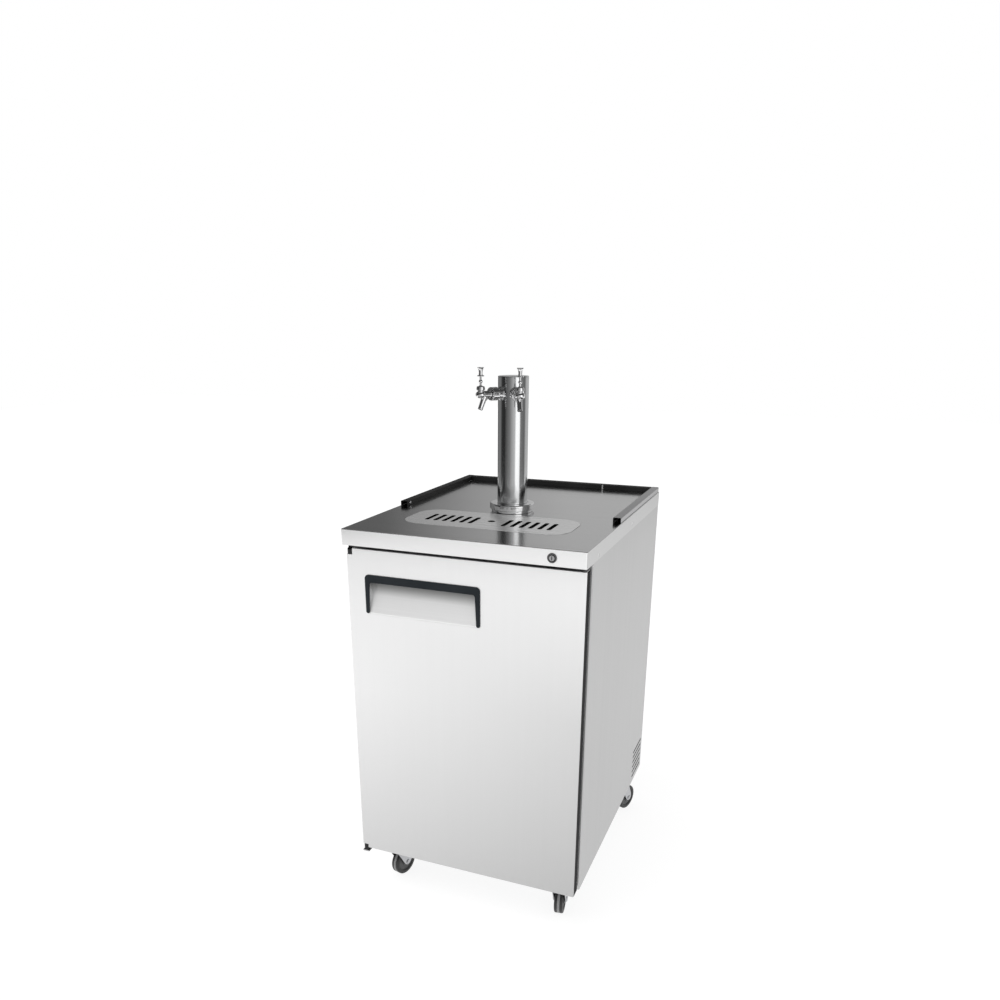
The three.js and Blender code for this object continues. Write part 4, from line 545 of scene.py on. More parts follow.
def curved(points, steps):
    """A smooth line through (radius, height) points, by a cubic spline."""
    line = []
    padded = [points[0], *points, points[-1]]
    for i in range(1, len(padded) - 2):
        a, b, c, d = (Vector(p) for p in padded[i - 1:i + 3])
        for k in range(steps):
            t = k / steps
            point = 0.5 * ((2 * b) + (c - a) * t + (2 * a - 5 * b + 4 * c - d) * t * t
                           + (3 * b - a - 3 * c + d) * t ** 3)
            line.append((max(point.x, 0.0), point.y))
    line.append(tuple(points[-1]))
    return line


def rim(radius, height, edge, down=False):
    """A quarter round from a side wall to an end face."""
    points, steps = [], 5
    for k in range(steps + 1):
        a = k / steps * math.pi / 2
        rise = edge - edge * math.sin(a)
        points.append((radius - edge + edge * math.cos(a), height + rise if down else height - rise))
    return points[::-1] if down else points


def copied(node_name):
    """A copy of a solid's mesh, merged and cleaned of needless edges, for a finish of its own."""
    shape = bmesh.new()
    shape.from_mesh(nodes[node_name].data)
    bmesh.ops.remove_doubles(shape, verts=shape.verts, dist=1e-5)
    bmesh.ops.dissolve_limit(
        shape, angle_limit=math.radians(1.0), verts=shape.verts, edges=shape.edges, delimit={"NORMAL"},
    )
    shape.normal_update()
    return shape


def eased(piece, width_mm):
    """Rounds the sharp edges of a finished piece with a small bevel."""
    modifier = piece.modifiers.new("eased edges", "BEVEL")
    modifier.width = width_mm / 1000
    modifier.segments = 2
    modifier.limit_method = "ANGLE"
    modifier.angle_limit = math.radians(30)
    modifier.harden_normals = True
    return piece


def turned_to(direction, origin_mm):
    """The matrix that lays the Z axis of a turned piece along a direction from a point."""
    z = Vector(direction).normalized()
    quaternion = z.to_track_quat("Z", "Y")
    return Matrix.Translation(Vector(origin_mm) / 1000) @ quaternion.to_matrix().to_4x4()


# %% [markdown]
# The column is a 76 mm tube with a thin cap, on a stepped flange. Both are turned from a profile
# with many more steps than the solid has, so that the long reflections stay straight.

# %% Column and flange
tower_y = -30.0
tube_r, tube_top = 38.1, 333.0
upright_place = Matrix.Translation((0, tower_y / 1000, top_z / 1000))

column_profile = [(36.6, 1.0), (tube_r, 1.0), (tube_r, 329.4), (37.7, 329.8), (37.7, 330.2), (tube_r, 330.6)]
column_profile += rim(tube_r, tube_top, 1.6)[1:] + [(0.0, tube_top)]
turned_piece("column_tube", "tower_column", column_steel, column_profile, 128, upright_place)

flange_profile = [(38.4, 0.4), (52.0, 0.4), (52.5, 1.0), (52.5, 6.4), (53.2, 7.2), (56.2, 7.2)]
flange_profile += [(57.0, 8.2), (57.0, 18.6)] + rim(57.0, 22.0, 3.2)[1:]
flange_profile += [(41.5, 22.0), (40.4, 21.2), (38.4, 21.2), (38.4, 0.4)]
turned_piece("column_flange", "tower_flange", flange_chrome, flange_profile, 128, upright_place)
print("column and flange made")

# %% [markdown]
# A faucet is a family of turned pieces: the collar and nut that clamp it to the shank, the barrel
# with its bulb, the tapered spout, the bonnet over the lever ball, the lever and its flared handle.
# They are drawn on one frame where R runs out from the column and Z is up, once for each side.


# %% Profiles of the faucet
def ball(radius, height, start, stop, steps):
    """Points of a ball's outline, from one angle to another."""
    angles = (start + (stop - start) * k / steps for k in range(steps + 1))
    return [(radius * math.cos(a), height + radius * math.sin(a)) for a in angles]


shank_z = 293.0
tap_angle = math.radians(29.0)
handle_r = 103.0
pivot_z = 14.0
web_half = 2.8

shank = [(3.2, 13.0), (4.6, 13.0), (4.8, 13.4), (4.8, 25.0), (10.6, 25.0), (11.0, 25.4),
         (11.0, 57.0), (3.2, 57.0), (3.2, 13.0)]
collar = [(11.2, 37.6), (16.0, 37.2), (16.0, 41.2), (15.4, 42.0), (14.2, 42.6), (13.5, 43.6), (13.5, 46.2)]
collar += [(13.0, 46.6), (13.0, 47.4), (13.5, 47.8)] + rim(13.5, 54.5, 1.6)[1:] + [(11.2, 54.5)]
nut = [(11.6, 55.0)] + rim(16.0, 55.0, 0.8, down=True) + [(16.0, 58.4), (15.9, 58.5), (15.9, 69.5)]
nut += [(16.0, 69.6)] + rim(16.0, 73.0, 1.6)[1:] + [(10.2, 73.0), (10.2, 68.0), (11.6, 68.0), (11.6, 55.0)]
barrel = [(0.0, 57.7), (11.0, 57.7), (11.0, 67.0), (8.6, 67.4), (8.6, 76.0), (9.3, 76.6), (9.3, 78.6)]
barrel += [(8.5, 79.4)] + curved([(8.5, 79.4), (8.1, 86.0), (8.4, 91.5), (8.2, 94.5), (7.2, 96.8)], 5)[1:]
bulb = curved([(0.0, -8.6), (4.6, -8.4), (9.2, -6.4), (11.8, -2.6), (12.2, 0.8), (10.9, 4.2),
               (8.3, 6.6), (7.2, 7.9), (7.7, 9.0), (9.2, 10.0)], 5) + [(9.2, 10.3), (6.8, 10.3)]
spout_tip = [(4.7, 12.0), (4.7, 0.4), (5.0, 0.0), (6.0, 0.0), (6.4, 0.5), (6.4, 3.0), (6.05, 3.6)]
web = [(73.6, -5.6), (84.0, -6.6), (92.0, -7.0), (94.5, -17.0), (90.6, -17.5), (87.6, -14.6), (82.0, -9.6)]
bonnet = [(7.24, 10.6)] + rim(10.2, 10.6, 0.8, down=True) + [(10.2, 15.4), (9.7, 15.8), (9.7, 16.3)]
bonnet += rim(9.9, 19.2, 2.6)[1:] + [(6.6, 19.2), (6.6, 18.5), (7.8, 15.6), (8.0, 14.0), (7.24, 10.6)]
lever = [(0.0, -16.8)] + ball(2.8, -14.0, -1.5, 0.95, 8) + [(1.5, -7.6)]
lever += ball(7.6, 0.0, -1.36, 1.2, 16) + [(2.6, 8.4), (2.6, 11.6)]
lever += ball(4.6, 16.0, -0.95, 0.95, 10) + [(2.5, 20.6), (2.5, 27.0), (6.6, 27.5), (8.0, 27.8), (8.4, 28.4)]
lever += [(8.4, 29.2), (8.0, 30.0), (6.8, 30.5), (2.6, 30.5), (2.6, 41.0), (0.0, 41.0)]
handle = [(2.9, 30.8), (4.6, 30.8)]
handle += curved([(4.9, 31.2), (4.5, 34.6), (4.5, 38.0), (5.2, 42.0), (6.6, 45.6), (8.2, 47.6)], 5)
handle += [(8.2, 48.0), (7.8, 48.4), (6.6, 48.3), (0.0, 47.6)]

# %% [markdown]
# The nut has notches for a hook spanner, so the wall of a turned nut is pressed inwards there. The
# spout is turned about a slanting line and has a flat web up to the barrel. One function makes
# every piece of a tap, because the left and the right one differ only in the way that they face.


# %% Faucets
def spanner_notches(shape, place, radius, low, high, count, depth):
    """Presses the wall of a turned nut inwards in evenly spaced notches for a spanner."""
    inverse = place.inverted()
    for vert in shape.verts:
        local = inverse @ vert.co * 1000
        reach = math.hypot(local.x, local.y)
        if abs(reach - radius) < 0.2 and low < local.z < high:
            turn = math.atan2(local.y, local.x) * count / (2 * math.pi)
            if abs(turn - round(turn)) < 0.17:
                factor = (radius - depth) / reach
                vert.co = place @ (Vector((local.x * factor, local.y * factor, local.z)) / 1000)


def bridged(shape, ring, after):
    """Adds the faces between two closed rings of as many points."""
    for k in range(len(ring)):
        nxt = (k + 1) % len(ring)
        shape.faces.new((ring[k], ring[nxt], after[nxt], after[k]))


def faucet(side, sign):
    """Every piece of one tap, from the shank outwards."""
    outwards = Vector((sign * math.sin(tap_angle), -math.cos(tap_angle), 0))
    sideways = outwards.cross(Vector((0, 0, 1)))
    centre = Vector((0, tower_y, top_z + shank_z))
    along = turned_to(outwards, centre)

    def at(radius, height):
        return centre + outwards * radius + Vector((0, 0, height))

    shape = bmesh.new()
    lathe(shape, shank, 48, along)
    lathe(shape, collar, 64, along)
    keep(side + "_collar", shape, chrome, side + "_shank")

    shape = bmesh.new()
    lathe(shape, nut, 120, along)
    spanner_notches(shape, along, 15.9, 58.0, 70.0, 6, 1.7)
    keep(side + "_nut", shape, chrome, side + "_coupling_nut", sharp=24)

    shape = bmesh.new()
    bulb_place = turned_to((0, 0, 1), at(handle_r, 0.0))
    lathe(shape, barrel, 64, along)
    lathe(shape, bulb, 64, bulb_place)
    tip, root = at(105.0, -35.0), at(90.0, -3.0)
    length = (root - tip).length
    taper = [(6.05, 3.6), (6.2, length * 0.35), (6.8, length * 0.7), (7.3, length * 0.9), (6.1, length)]
    spout = spout_tip + curved(taper, 6)[1:] + [(0.0, length + 1.0)]
    lathe(shape, spout, 56, turned_to(root - tip, tip))
    near, far = (
        [shape.verts.new((at(r, z) + sideways * offset) / 1000) for r, z in web]
        for offset in (-web_half, web_half)
    )
    shape.faces.new(near)
    shape.faces.new(far[::-1])
    bridged(shape, near, far)
    keep(side + "_faucet", shape, chrome, side + "_faucet_body", sharp=40)

    turned_piece(side + "_bonnet_ring", side + "_bonnet", chrome, bonnet, 64, bulb_place)
    lever_place = turned_to((0, 0, 1), at(handle_r, pivot_z))
    turned_piece(side + "_lever_rod", side + "_lever", chrome, lever, 48, lever_place)
    turned_piece(side + "_lever_handle", side + "_handle", chrome, handle, 56, lever_place)


faucet("left", -1)
faucet("right", 1)
print("faucets made")

# %% [markdown]
# Flat parts with rounded outlines are drawn as filled 2D curves: the outline and its holes are
# closed lines, the curve gives them a thickness and a small bevel, and the result is kept as a mesh.


# %% Flat parts
def filleted(points, radii, steps=6):
    """Rounds the corners of a closed outline, each by its own radius in millimetres."""
    rounded = []
    for i, point in enumerate(points):
        radius = radii[i] if isinstance(radii, (list, tuple)) else radii
        here = Vector(point)
        before, after = (Vector(points[i - 1]) - here), (Vector(points[(i + 1) % len(points)]) - here)
        angle = before.angle(after)
        if radius <= 0 or angle > math.pi - 0.01:
            rounded.append(tuple(here))
            continue
        reach = radius / math.tan(angle / 2)
        start, end = here + before.normalized() * reach, here + after.normalized() * reach
        inwards = (before.normalized() + after.normalized()).normalized()
        centre = here + inwards * radius / math.sin(angle / 2)
        for k in range(steps + 1):
            arm = (start - centre).lerp(end - centre, k / steps)
            rounded.append(tuple(centre + arm.normalized() * radius))
    return rounded


def rectangle(x0, x1, y0, y1, radius, steps=6):
    return filleted([(x0, y0), (x1, y0), (x1, y1), (x0, y1)], radius, steps)


def circle(x, y, radius, steps=40):
    angles = (2 * math.pi * k / steps for k in range(steps))
    return [(x + radius * math.cos(a), y + radius * math.sin(a)) for a in angles]


def plate(outlines, low, high, edge, place=Matrix.Identity(4), bevel_steps=2):
    """A mesh of closed outlines, filled from low to high along Z, with a small bevel, then placed."""
    curve = bpy.data.curves.new("outline", "CURVE")
    curve.dimensions = "2D"
    curve.fill_mode = "BOTH"
    curve.extrude = (high - low) / 2000 - edge / 1000
    curve.bevel_depth = edge / 1000
    curve.bevel_resolution = bevel_steps
    curve.offset = -edge / 1000
    for outline in outlines:
        spline = curve.splines.new("POLY")
        spline.points.add(len(outline) - 1)
        for point, (x, y) in zip(spline.points, outline):
            point.co = (x / 1000, y / 1000, 0, 1)
        spline.use_cyclic_u = True
    holder = placed("outline", curve)
    solid = baked(holder)
    bpy.data.objects.remove(holder)
    bpy.data.curves.remove(curve)
    solid.transform(place @ Matrix.Translation((0, 0, (low + high) / 2000)))
    shape = bmesh.new()
    shape.from_mesh(solid)
    bpy.data.meshes.remove(solid)
    bmesh.ops.remove_doubles(shape, verts=shape.verts, dist=1e-6)
    return shape


def add_to(shape, other):
    """Adds the second bmesh to the first. The second is used up."""
    mesh = as_mesh("part", other)
    shape.from_mesh(mesh)
    bpy.data.meshes.remove(mesh)


def frame_of(x_axis, y_axis):
    """The matrix that lays X and Y along two directions."""
    x, y = Vector(x_axis), Vector(y_axis)
    return Matrix((x, y, x.cross(y))).transposed().to_4x4()


# %% [markdown]
# The drip grille is a thin plate with round ends, twelve slots and a finger hole. Light catches the
# bevel all round it, which is what shows it lying in the worktop.

# %% Drip grille
tray_y = -174.0
grille_half_x, grille_half_y, grille_corner = 213, 86, 54
slot_half, slot_pitch, inner_slot_x = 5.4, 22.9, 43
slot_front, slot_rear = -214.5, -144.5
hole_radius, slots_end_x = 9, 165
finger_hole = circle(0, tray_y, hole_radius)
slots = [
    rectangle(side * x - slot_half, side * x + slot_half, slot_front, slot_rear, slot_half - 0.1, 8)
    for side in (-1, 1) for x in (inner_slot_x + slot_pitch * i for i in range(6))
]
rounded_plate = rectangle(
    -grille_half_x, grille_half_x, tray_y - grille_half_y, tray_y + grille_half_y, grille_corner, 24,
)
grille = plate([rounded_plate, finger_hole, *slots], 1008.5, 1010.6, 0.45)
grille.normal_update()
# Painted shade: the walls of the slots and of the finger hole are near black.
for face in grille.faces:
    spot = face.calc_center_median() * 1000
    in_slots = abs(spot.x) < slots_end_x and slot_front - 1.5 < spot.y < slot_rear + 1.5
    in_hole = math.hypot(spot.x, spot.y - tray_y) < hole_radius + 1
    is_wall = abs(face.normal.z) < 0.8
    face.material_index = int((in_slots or in_hole) and is_wall)
keep("drip_plate", grille, [plate_steel, hollow_shade], "drip_grille")
print("grille faces", len(bpy.data.objects["drip_plate"].data.polygons))

# %% [markdown]
# The handle is a recess under a dark moulded trim. The trim is one plate with tapering legs, and
# its face is crowned by a bevel of several steps, so that it reads as a moulding and not as tape.

# %% Handle trim
facing_front = frame_of((1, 0, 0), (0, 0, 1))
trim_outline = filleted(
    [(-249, 803.8), (-249, 900.8), (49, 900.8), (49, 803.8),
     (39.5, 803.8), (36.0, 881.8), (-236.0, 881.8), (-239.5, 803.8)],
    [4.4, 10.0, 10.0, 4.4, 4.4, 6.0, 6.0, 4.4], 8,
)
keep("handle_moulding", plate([trim_outline], 366.3, 368.65, 0.9, facing_front, 3), trim_black,
     "handle_trim", sharp=50)
print("handle trim made")

# %% [markdown]
# Folded sheet keeps its solid's shape. A merged copy can carry several finishes: the worktop's face is
# painted darker for the room behind it that it reflects and its turned-down edges paler for the room
# in front, as painted reflection, and the rails have painted shade along the inner side.
# Countersinks for flush screws are cut by a boolean, and painted near black as shade.


# %% Folded sheet
def cut(mesh, cutter):
    """A mesh with the shape of a bmesh cut out of it."""
    blank, tool = placed("blank", mesh), placed("cutter", as_mesh("cutter", cutter))
    modifier = blank.modifiers.new("countersinks", "BOOLEAN")
    modifier.object = tool
    modifier.solver = "EXACT"
    result = baked(blank)
    for item in (blank, tool):
        bpy.data.objects.remove(item)
    return result


def sheet(node, materials, choose, cutter=None):
    """A merged copy of a solid. choose(normal, centre) gives the number of each face's finish."""
    mesh = as_mesh(node + "_sheet", copied(node))
    if cutter:
        mesh = cut(mesh, cutter)
        mesh.name = node + "_sheet"
    numbers = [choose(face.normal, face.center * 1000) for face in mesh.polygons]
    piece = keep_mesh(node + "_sheet", mesh, materials, node)
    mesh.polygons.foreach_set("material_index", numbers)
    return piece


def worktop_finish(normal, centre):
    """The face is 1, the flanks 2, the countersinks 3 and the apron 0. Face, flanks and apron are painted
    tones of one steel for their light, and the countersinks are painted shade.
    """
    # The rounded front edge takes the face's darker painted tone, so that it shows no pale highlight.
    if normal.z > 0.15 and centre.z > top_z - 10:
        return 1
    near_screw = any(math.hypot(centre.y - y, centre.z - z) < sink_reach for y, z in band_screws)
    if abs(centre.x) > worktop_half - 2 and near_screw:
        return 3
    return 2 if abs(normal.x) > 0.6 else 0


def rail_finish(inner_x, inner_y):
    """Near-black painted shade on the inner side, the front end and, but for the right rail, the top."""
    def choose(normal, centre):
        inside = normal.x * inner_x + normal.y * inner_y > 0.5
        return int(inside or normal.y < -0.5 or (normal.z > 0.5 and inner_x > -1))
    return choose


worktop_half = 300
sink_reach = 6
skin_front_y, inner_panel_edge_x = -365.4, 285
band_screws = [(-290.0, 982.0), (40.0, 986.0)]
countersink = [(0, -1.1), (3.4, -1.1), (5.6, 0.6), (0, 0.6)]
sinks = bmesh.new()
for side in (-1, 1):
    for y, z in band_screws:
        lathe(sinks, countersink, 32, turned_to((side, 0, 0), (side * worktop_half, y, z)))
bmesh.ops.recalc_face_normals(sinks, faces=sinks.faces)
sheet("worktop", [apron_steel, band_steel, flank_steel, hollow_shade], worktop_finish, cutter=sinks)
# Painted shade: the door's edges and back are near black, as the gap round the door is in shade.
sheet("door_skin", [door_steel, door_gap_shade],
      lambda normal, centre: int(abs(normal.x) > 0.7 and centre.y > skin_front_y or normal.y > 0.5))
# Painted shade: the inner panel's edges beside the cabinet are dark plastic, for the shade in the gap round
# the door.
sheet("door_inner_panel", [liner_white, dark_plastic],
      lambda normal, centre: int(normal.y < 0.5 and abs(centre.x) > inner_panel_edge_x))
for rail, inner_x, inner_y in (("left", 1, 0), ("right", -1, 0), ("rear", 0, -1)):
    sheet(rail + "_rail", [rail_steel, rail_shade], rail_finish(inner_x, inner_y))
# A thin pale strip stands upright on the inner face of the rear rail.
low, high = box_mm("rear_rail")
strip = rectangle(135.4, 138.6, low.z + 0.3, high.z - 0.3, 0.5)
keep("rail_joint_strip", plate([strip], -low.y, -low.y + 0.7, 0.2, facing_front), plate_steel,
     "rear_rail", stands_in=False)
print("sheet pieces made")

# %% [markdown]
# The lock is a ring with a round plug in it. The keyway is a real slot in the plug's face, with a
# dark disc behind it as painted shade for the depth of the keyway.

# %% Lock
lock_dark = polished("lock_metal", (0.10, 0.10, 0.102), 0.14)
lock_bright = polished("lock_plug_metal", (0.34, 0.34, 0.345), 0.12)
lock_place = turned_to((0, -1, 0), (222, -381, 990.4))
ring = [(7.0, 0.3), (10.6, 0.3), (11.0, 0.7)] + rim(11.0, 1.9, 0.8)[1:]
ring += [(8.2, 1.95), (7.4, 1.5), (7.0, 1.0), (7.0, 0.3)]
turned_piece("lock_ring", "lock_barrel", lock_dark, ring, 48, lock_place)
keyway = rectangle(-0.85, 0.85, -4.2, 4.2, 0.6, 3)
keyed = plate([circle(0, 0, 6.4, 40), keyway], 1.2, 2.9, 0.35, lock_place)
# Painted shade: a dark disc behind the keyway stands for the shade inside it.
lathe(keyed, [(0.0, 0.4), (6.2, 0.4), (6.2, 1.1), (0.0, 1.1)], 40, lock_place, 1)
keep("lock_face", keyed, [lock_bright, dark_plastic], "lock_plug")

# %% [markdown]
# The hinges are a plate and a bush above, and a strap and a bush below. The bushes are turned, the
# plate is rounded round its pin, and the strap keeps its solid's shape with softened edges.

# %% Hinges
hinge_x, hinge_y = -289.0, -358.0
pin_r = 3.4
hinge_black = polished("hinge_black", (0.035, 0.035, 0.036), 0.10, cloud_strength=0.1)
hinge_steel = polished("hinge_steel", (0.42, 0.42, 0.425), 0.16, cloud_strength=0.2)
at_pin = Matrix.Translation((hinge_x / 1000, hinge_y / 1000, 0))
hinge_outline = filleted([(-297, -366), (-262, -366), (-262, -327), (-297, -327)], [7.5, 3, 2, 2])
hinge_plate = plate([hinge_outline, circle(hinge_x, hinge_y, 3.5, 24)], 967.8, 971.6, 0.5)
keep("upper_hinge_plate", hinge_plate, black_paint, "upper_hinge")
foot, head = (corner.z for corner in box_mm("upper_bush"))
turned_piece("upper_hinge_bush", "upper_bush", hinge_black, [
    (pin_r, foot + 0.2), (7.0, foot + 0.2), (7.8, foot + 1.0), (7.8, head - 9.0), (7.0, head - 7.4),
    (5.0, head - 5.0), (4.6, head - 0.8), (4.2, head - 0.3), (pin_r, head - 0.3), (pin_r, foot + 0.2),
], 40, at_pin)
foot, head = (corner.z for corner in box_mm("lower_bush"))
turned_piece("lower_hinge_bush", "lower_bush", hinge_black, [
    (pin_r, foot + 0.2), *rim(7.8, foot + 0.2, 1.4, down=True), (7.8, head - 1.0), (7.2, head - 0.3),
    (pin_r, head - 0.3), (pin_r, foot + 0.2),
], 40, at_pin)
eased(keep("lower_hinge_strap", copied("lower_hinge"), hinge_steel, "lower_hinge"), 0.5)
print("lock and hinges made")

# %% [markdown]
# A caster is a bolted plate with its ball race, a fork of pressed sheet, and a wheel: a dark hub
# with a rubber tyre that has a rounded tread, with a paler band painted round its middle as a
# highlight. One function makes any of the four, and the two front ones have a longer cheek that
# carries the brake's pin.


# %% Casters
def both_ways(profile):
    """A profile and its mirror image below height 0."""
    return profile + [(r, -h) for r, h in reversed(profile[:-1] if abs(profile[-1][1]) < 1e-6 else profile)]


def pin(half_length, radius):
    """The profile of a plain pin about the middle of its length."""
    return [(0, -half_length), (radius, -half_length), (radius, half_length), (0, half_length)]


axle_z, trail, wheel_r = 38.1, 31.0, 38.1
bolt_reach = 21
fork_half, fork_sheet = 16.95, 2.4
pin_forward, pin_up = 31, 33
caster_places = {
    "front_left": (-238, -294, 14), "front_right": (238, -294, -8),
    "rear_left": (-258, 285, 8), "rear_right": (258, 285, 20),
}
race_profile = [(0, 112.4), (19.6, 112.4), (20.4, 112.7), (23.2, 115.4), (23.9, 116.6), (23.9, 118.4),
                (22.8, 119.2), (22.8, 120.2), (23.9, 121.0), (23.9, 122.6), (0, 122.6)]
axle_nut = [(0, 0), (6.9, 0), (6.9, 1.0), (6.2, 2.2), (3.4, 2.5), (3.2, 2.9), (0, 2.9)]
hub = [(4.7, -13.2), (12.6, -13.2), (13.0, -12.8), (13.0, -10.2), (14.0, -9.2), (26.0, -8.6), (27.0, -9.6)]
shoulder = [(wheel_r - 3.7 * (1 - math.sin(a)), -8.4 - 3.2 * math.cos(a))
            for a in (k * math.pi / 12 for k in range(1, 6))]
tyre = [(27.0, -9.6), (28.6, -11.4), (33.6, -11.9), (34.4, -11.6), *shoulder]
tyre += [(wheel_r, -8.0), (wheel_r, -4.0), (37.6, -3.5), (37.6, 0.0)]
band = [(37.6, -3.4), (wheel_r, -2.9), (wheel_r, 2.9), (37.6, 3.4)]
cheek_root = [(-20, 111.7), (-20, 104.0), (19.4, 36.5), (31, 24.6), (43, 36.0)]
cheek_bends = [0, 8, 9, 11.9, 9]
long_cheek = filleted(cheek_root + [(70, 63.2), (70, 79.0), (33, 111.7)], cheek_bends + [7, 7, 0], 8)
short_cheek = filleted(cheek_root + [(43, 50.0), (20, 104.0), (20, 111.7)], cheek_bends + [9, 8, 0], 8)


def caster(place, x, y, turn):
    """The pieces of one caster. The front ones have a brake."""
    name, braked = place + "_caster", place.startswith("front")
    head = Matrix.Translation((x / 1000, y / 1000, 0))
    turned = head @ Matrix.Rotation(math.radians(-turn), 4, "Z")
    cheek_plane = turned @ frame_of((0, 1, 0), (0, 0, 1))

    def across(out, y_mm, z_mm, x_mm=0):
        return turned @ turned_to((out, 0, 0), (x_mm, y_mm, z_mm))

    bolt_holes = [circle(a, b, 3.5, 16) for a in (-bolt_reach, bolt_reach) for b in (-bolt_reach, bolt_reach)]
    shape = plate([rectangle(-28, 28, -28, 28, 8), *bolt_holes], 121.3, 124.25, 0.6, head)
    lathe(shape, race_profile, 48, head)
    keep(name + "_top", shape, bright_zinc, name + "_plate")

    shape = bmesh.new()
    cheek = [long_cheek if braked else short_cheek, circle(trail, axle_z, 3.0, 16)]
    for out, low in ((-1, -fork_half), (1, fork_half - fork_sheet)):
        add_to(shape, plate(cheek, low, low + fork_sheet, 0.5, cheek_plane))
        lathe(shape, axle_nut, 6, across(out, trail, axle_z, out * 16.9))
    add_to(shape, plate([rectangle(-16.9, 16.9, -20, 20, 4)], 108.9, 111.75, 0.5, turned))
    lathe(shape, pin(16.5, 4.0), 20, across(1, trail, axle_z))
    if braked:
        lathe(shape, pin(16.8, 2.3), 16, across(1, trail + pin_forward, axle_z + pin_up))
    keep(name + "_yoke", shape, bright_zinc, name + "_fork")

    on_axle = across(1, trail, axle_z)
    shape = bmesh.new()
    lathe(shape, [*both_ways(hub), hub[0]], 72, on_axle, 1)
    lathe(shape, both_ways(tyre), 96, on_axle, 0)
    # The paler band round the tread's middle is a painted highlight.
    lathe(shape, band, 96, on_axle, 2)
    keep(name + "_roller", shape, [tyre_rubber, hub_plastic, tread_band], name + "_wheel")
    if braked:
        pedal = place + "_brake_pedal"
        eased(keep(place + "_brake_lever", copied(pedal), black_paint, pedal), 0.8)


for place, spot in caster_places.items():
    caster(place, *spot)
print("casters made")

# %% [markdown]
# The gasket is one profile, with the folds that let it follow the door, swept round the frame of
# the door.


# %% Gasket
def swept(profile, half_width, low, high, radius):
    """Sweeps (inset, y) points round an upright rectangle with rounded corners."""
    shape = bmesh.new()
    rings = []
    for inset, depth in profile:
        corner = max(radius - inset * 0.1, 1.5)
        loop = rectangle(-half_width + inset, half_width - inset, low + inset, high - inset, corner)
        rings.append([shape.verts.new((a / 1000, depth / 1000, b / 1000)) for a, b in loop])
    for i, ring in enumerate(rings):
        bridged(shape, ring, rings[(i + 1) % len(rings)])
    return shape


gasket_profile = [
    (2.0, -335.6), (24.0, -335.6), (25.2, -334.6), (22.4, -333.2), (25.4, -331.8), (22.8, -330.4),
    (25.6, -328.8), (25.8, -326.6), (24.8, -325.8), (14.0, -325.75), (13.0, -326.4), (12.0, -325.75),
    (1.2, -325.8), (0.2, -326.6), (0.4, -328.8), (3.2, -330.4), (0.6, -331.8), (3.6, -333.2), (0.8, -334.6),
]
keep("door_seal", swept(gasket_profile, 288.0, 137.0, 953.5, 5.0), gasket_black, "door_gasket", sharp=50)
print("gasket made")

# %% [markdown]
# Moulded pieces of the inside keep their solids' shape with softened edges, and the turned ones,
# the knob and the compressor, get fine profiles.

# %% Inside
eased(keep("cold_air_housing", copied("evaporator_cover"), liner_white, "evaporator_cover"), 0.7)
for fan in ("evaporator_fan", "condenser_fan"):
    keep(fan + "_rotor", copied(fan), dark_plastic, fan, sharp=40)

low, high = box_mm("thermostat_knob")
depth = high.y - low.y
knob_place = turned_to((0, -1, 0), ((low.x + high.x) / 2, high.y, (low.z + high.z) / 2))
shape = bmesh.new()
knob_rings = lathe(shape, [
    (0.0, 0.3), (15.0, 0.3), (16.6, 1.0), (16.6, depth * 0.45), (15.2, depth * 0.5), (14.6, depth - 1.0),
    (13.8, depth - 0.3), (0.0, depth - 0.3),
], 72, knob_place)
for ring in knob_rings[4:7]:
    for step, vert in enumerate(ring):
        if step % 6 in (0, 1):
            away = vert.co - knob_place.translation
            away.y = 0
            vert.co -= away * 0.06
keep("cooling_knob", shape, dark_plastic, "thermostat_knob")

low, high = box_mm("compressor")
base, top = low.z, high.z
radius = (high.x - low.x) / 2
wall, seam = radius * 0.955, base + (top - base) * 0.52
upright = Matrix.Translation(((low.x + high.x) / 2000, (low.y + high.y) / 2000, 0))
shape = bmesh.new()
body = curved([
    (0.0, base + 8.0), (radius * 0.55, base + 8.6), (radius * 0.86, base + 14), (wall, base + 26),
], 5)
body += [(wall, seam - 2.0), (radius * 0.99, seam - 1.6), (radius * 0.99, seam + 1.6), (wall, seam + 2.0)]
body += curved([(wall, top - 34), (radius * 0.9, top - 16), (radius * 0.62, top - 4.0), (0.0, top - 0.6)], 6)
lathe(shape, body, 72, upright)
foot_profile = [(0, base + 0.2), (10.5, base + 0.2), (10.5, base + 2.4), (7.0, base + 3.2),
                (7.0, base + 12.0), (0, base + 12.0)]
foot_reach = radius * 0.62 / 1000
for quarter in range(4):
    turn = math.radians(45 + 90 * quarter)
    spot = Matrix.Translation((math.cos(turn) * foot_reach, math.sin(turn) * foot_reach, 0))
    lathe(shape, foot_profile, 24, upright @ spot)
keep("compressor_shell", shape, black_paint, "compressor")
print("inside pieces made")

# %% [markdown]
# Geometry Nodes make what repeats: screws and bolts, the rings and spokes of the fan guard, and the
# fins of the condenser. Each tree has named inputs and is turned into a plain mesh at once.


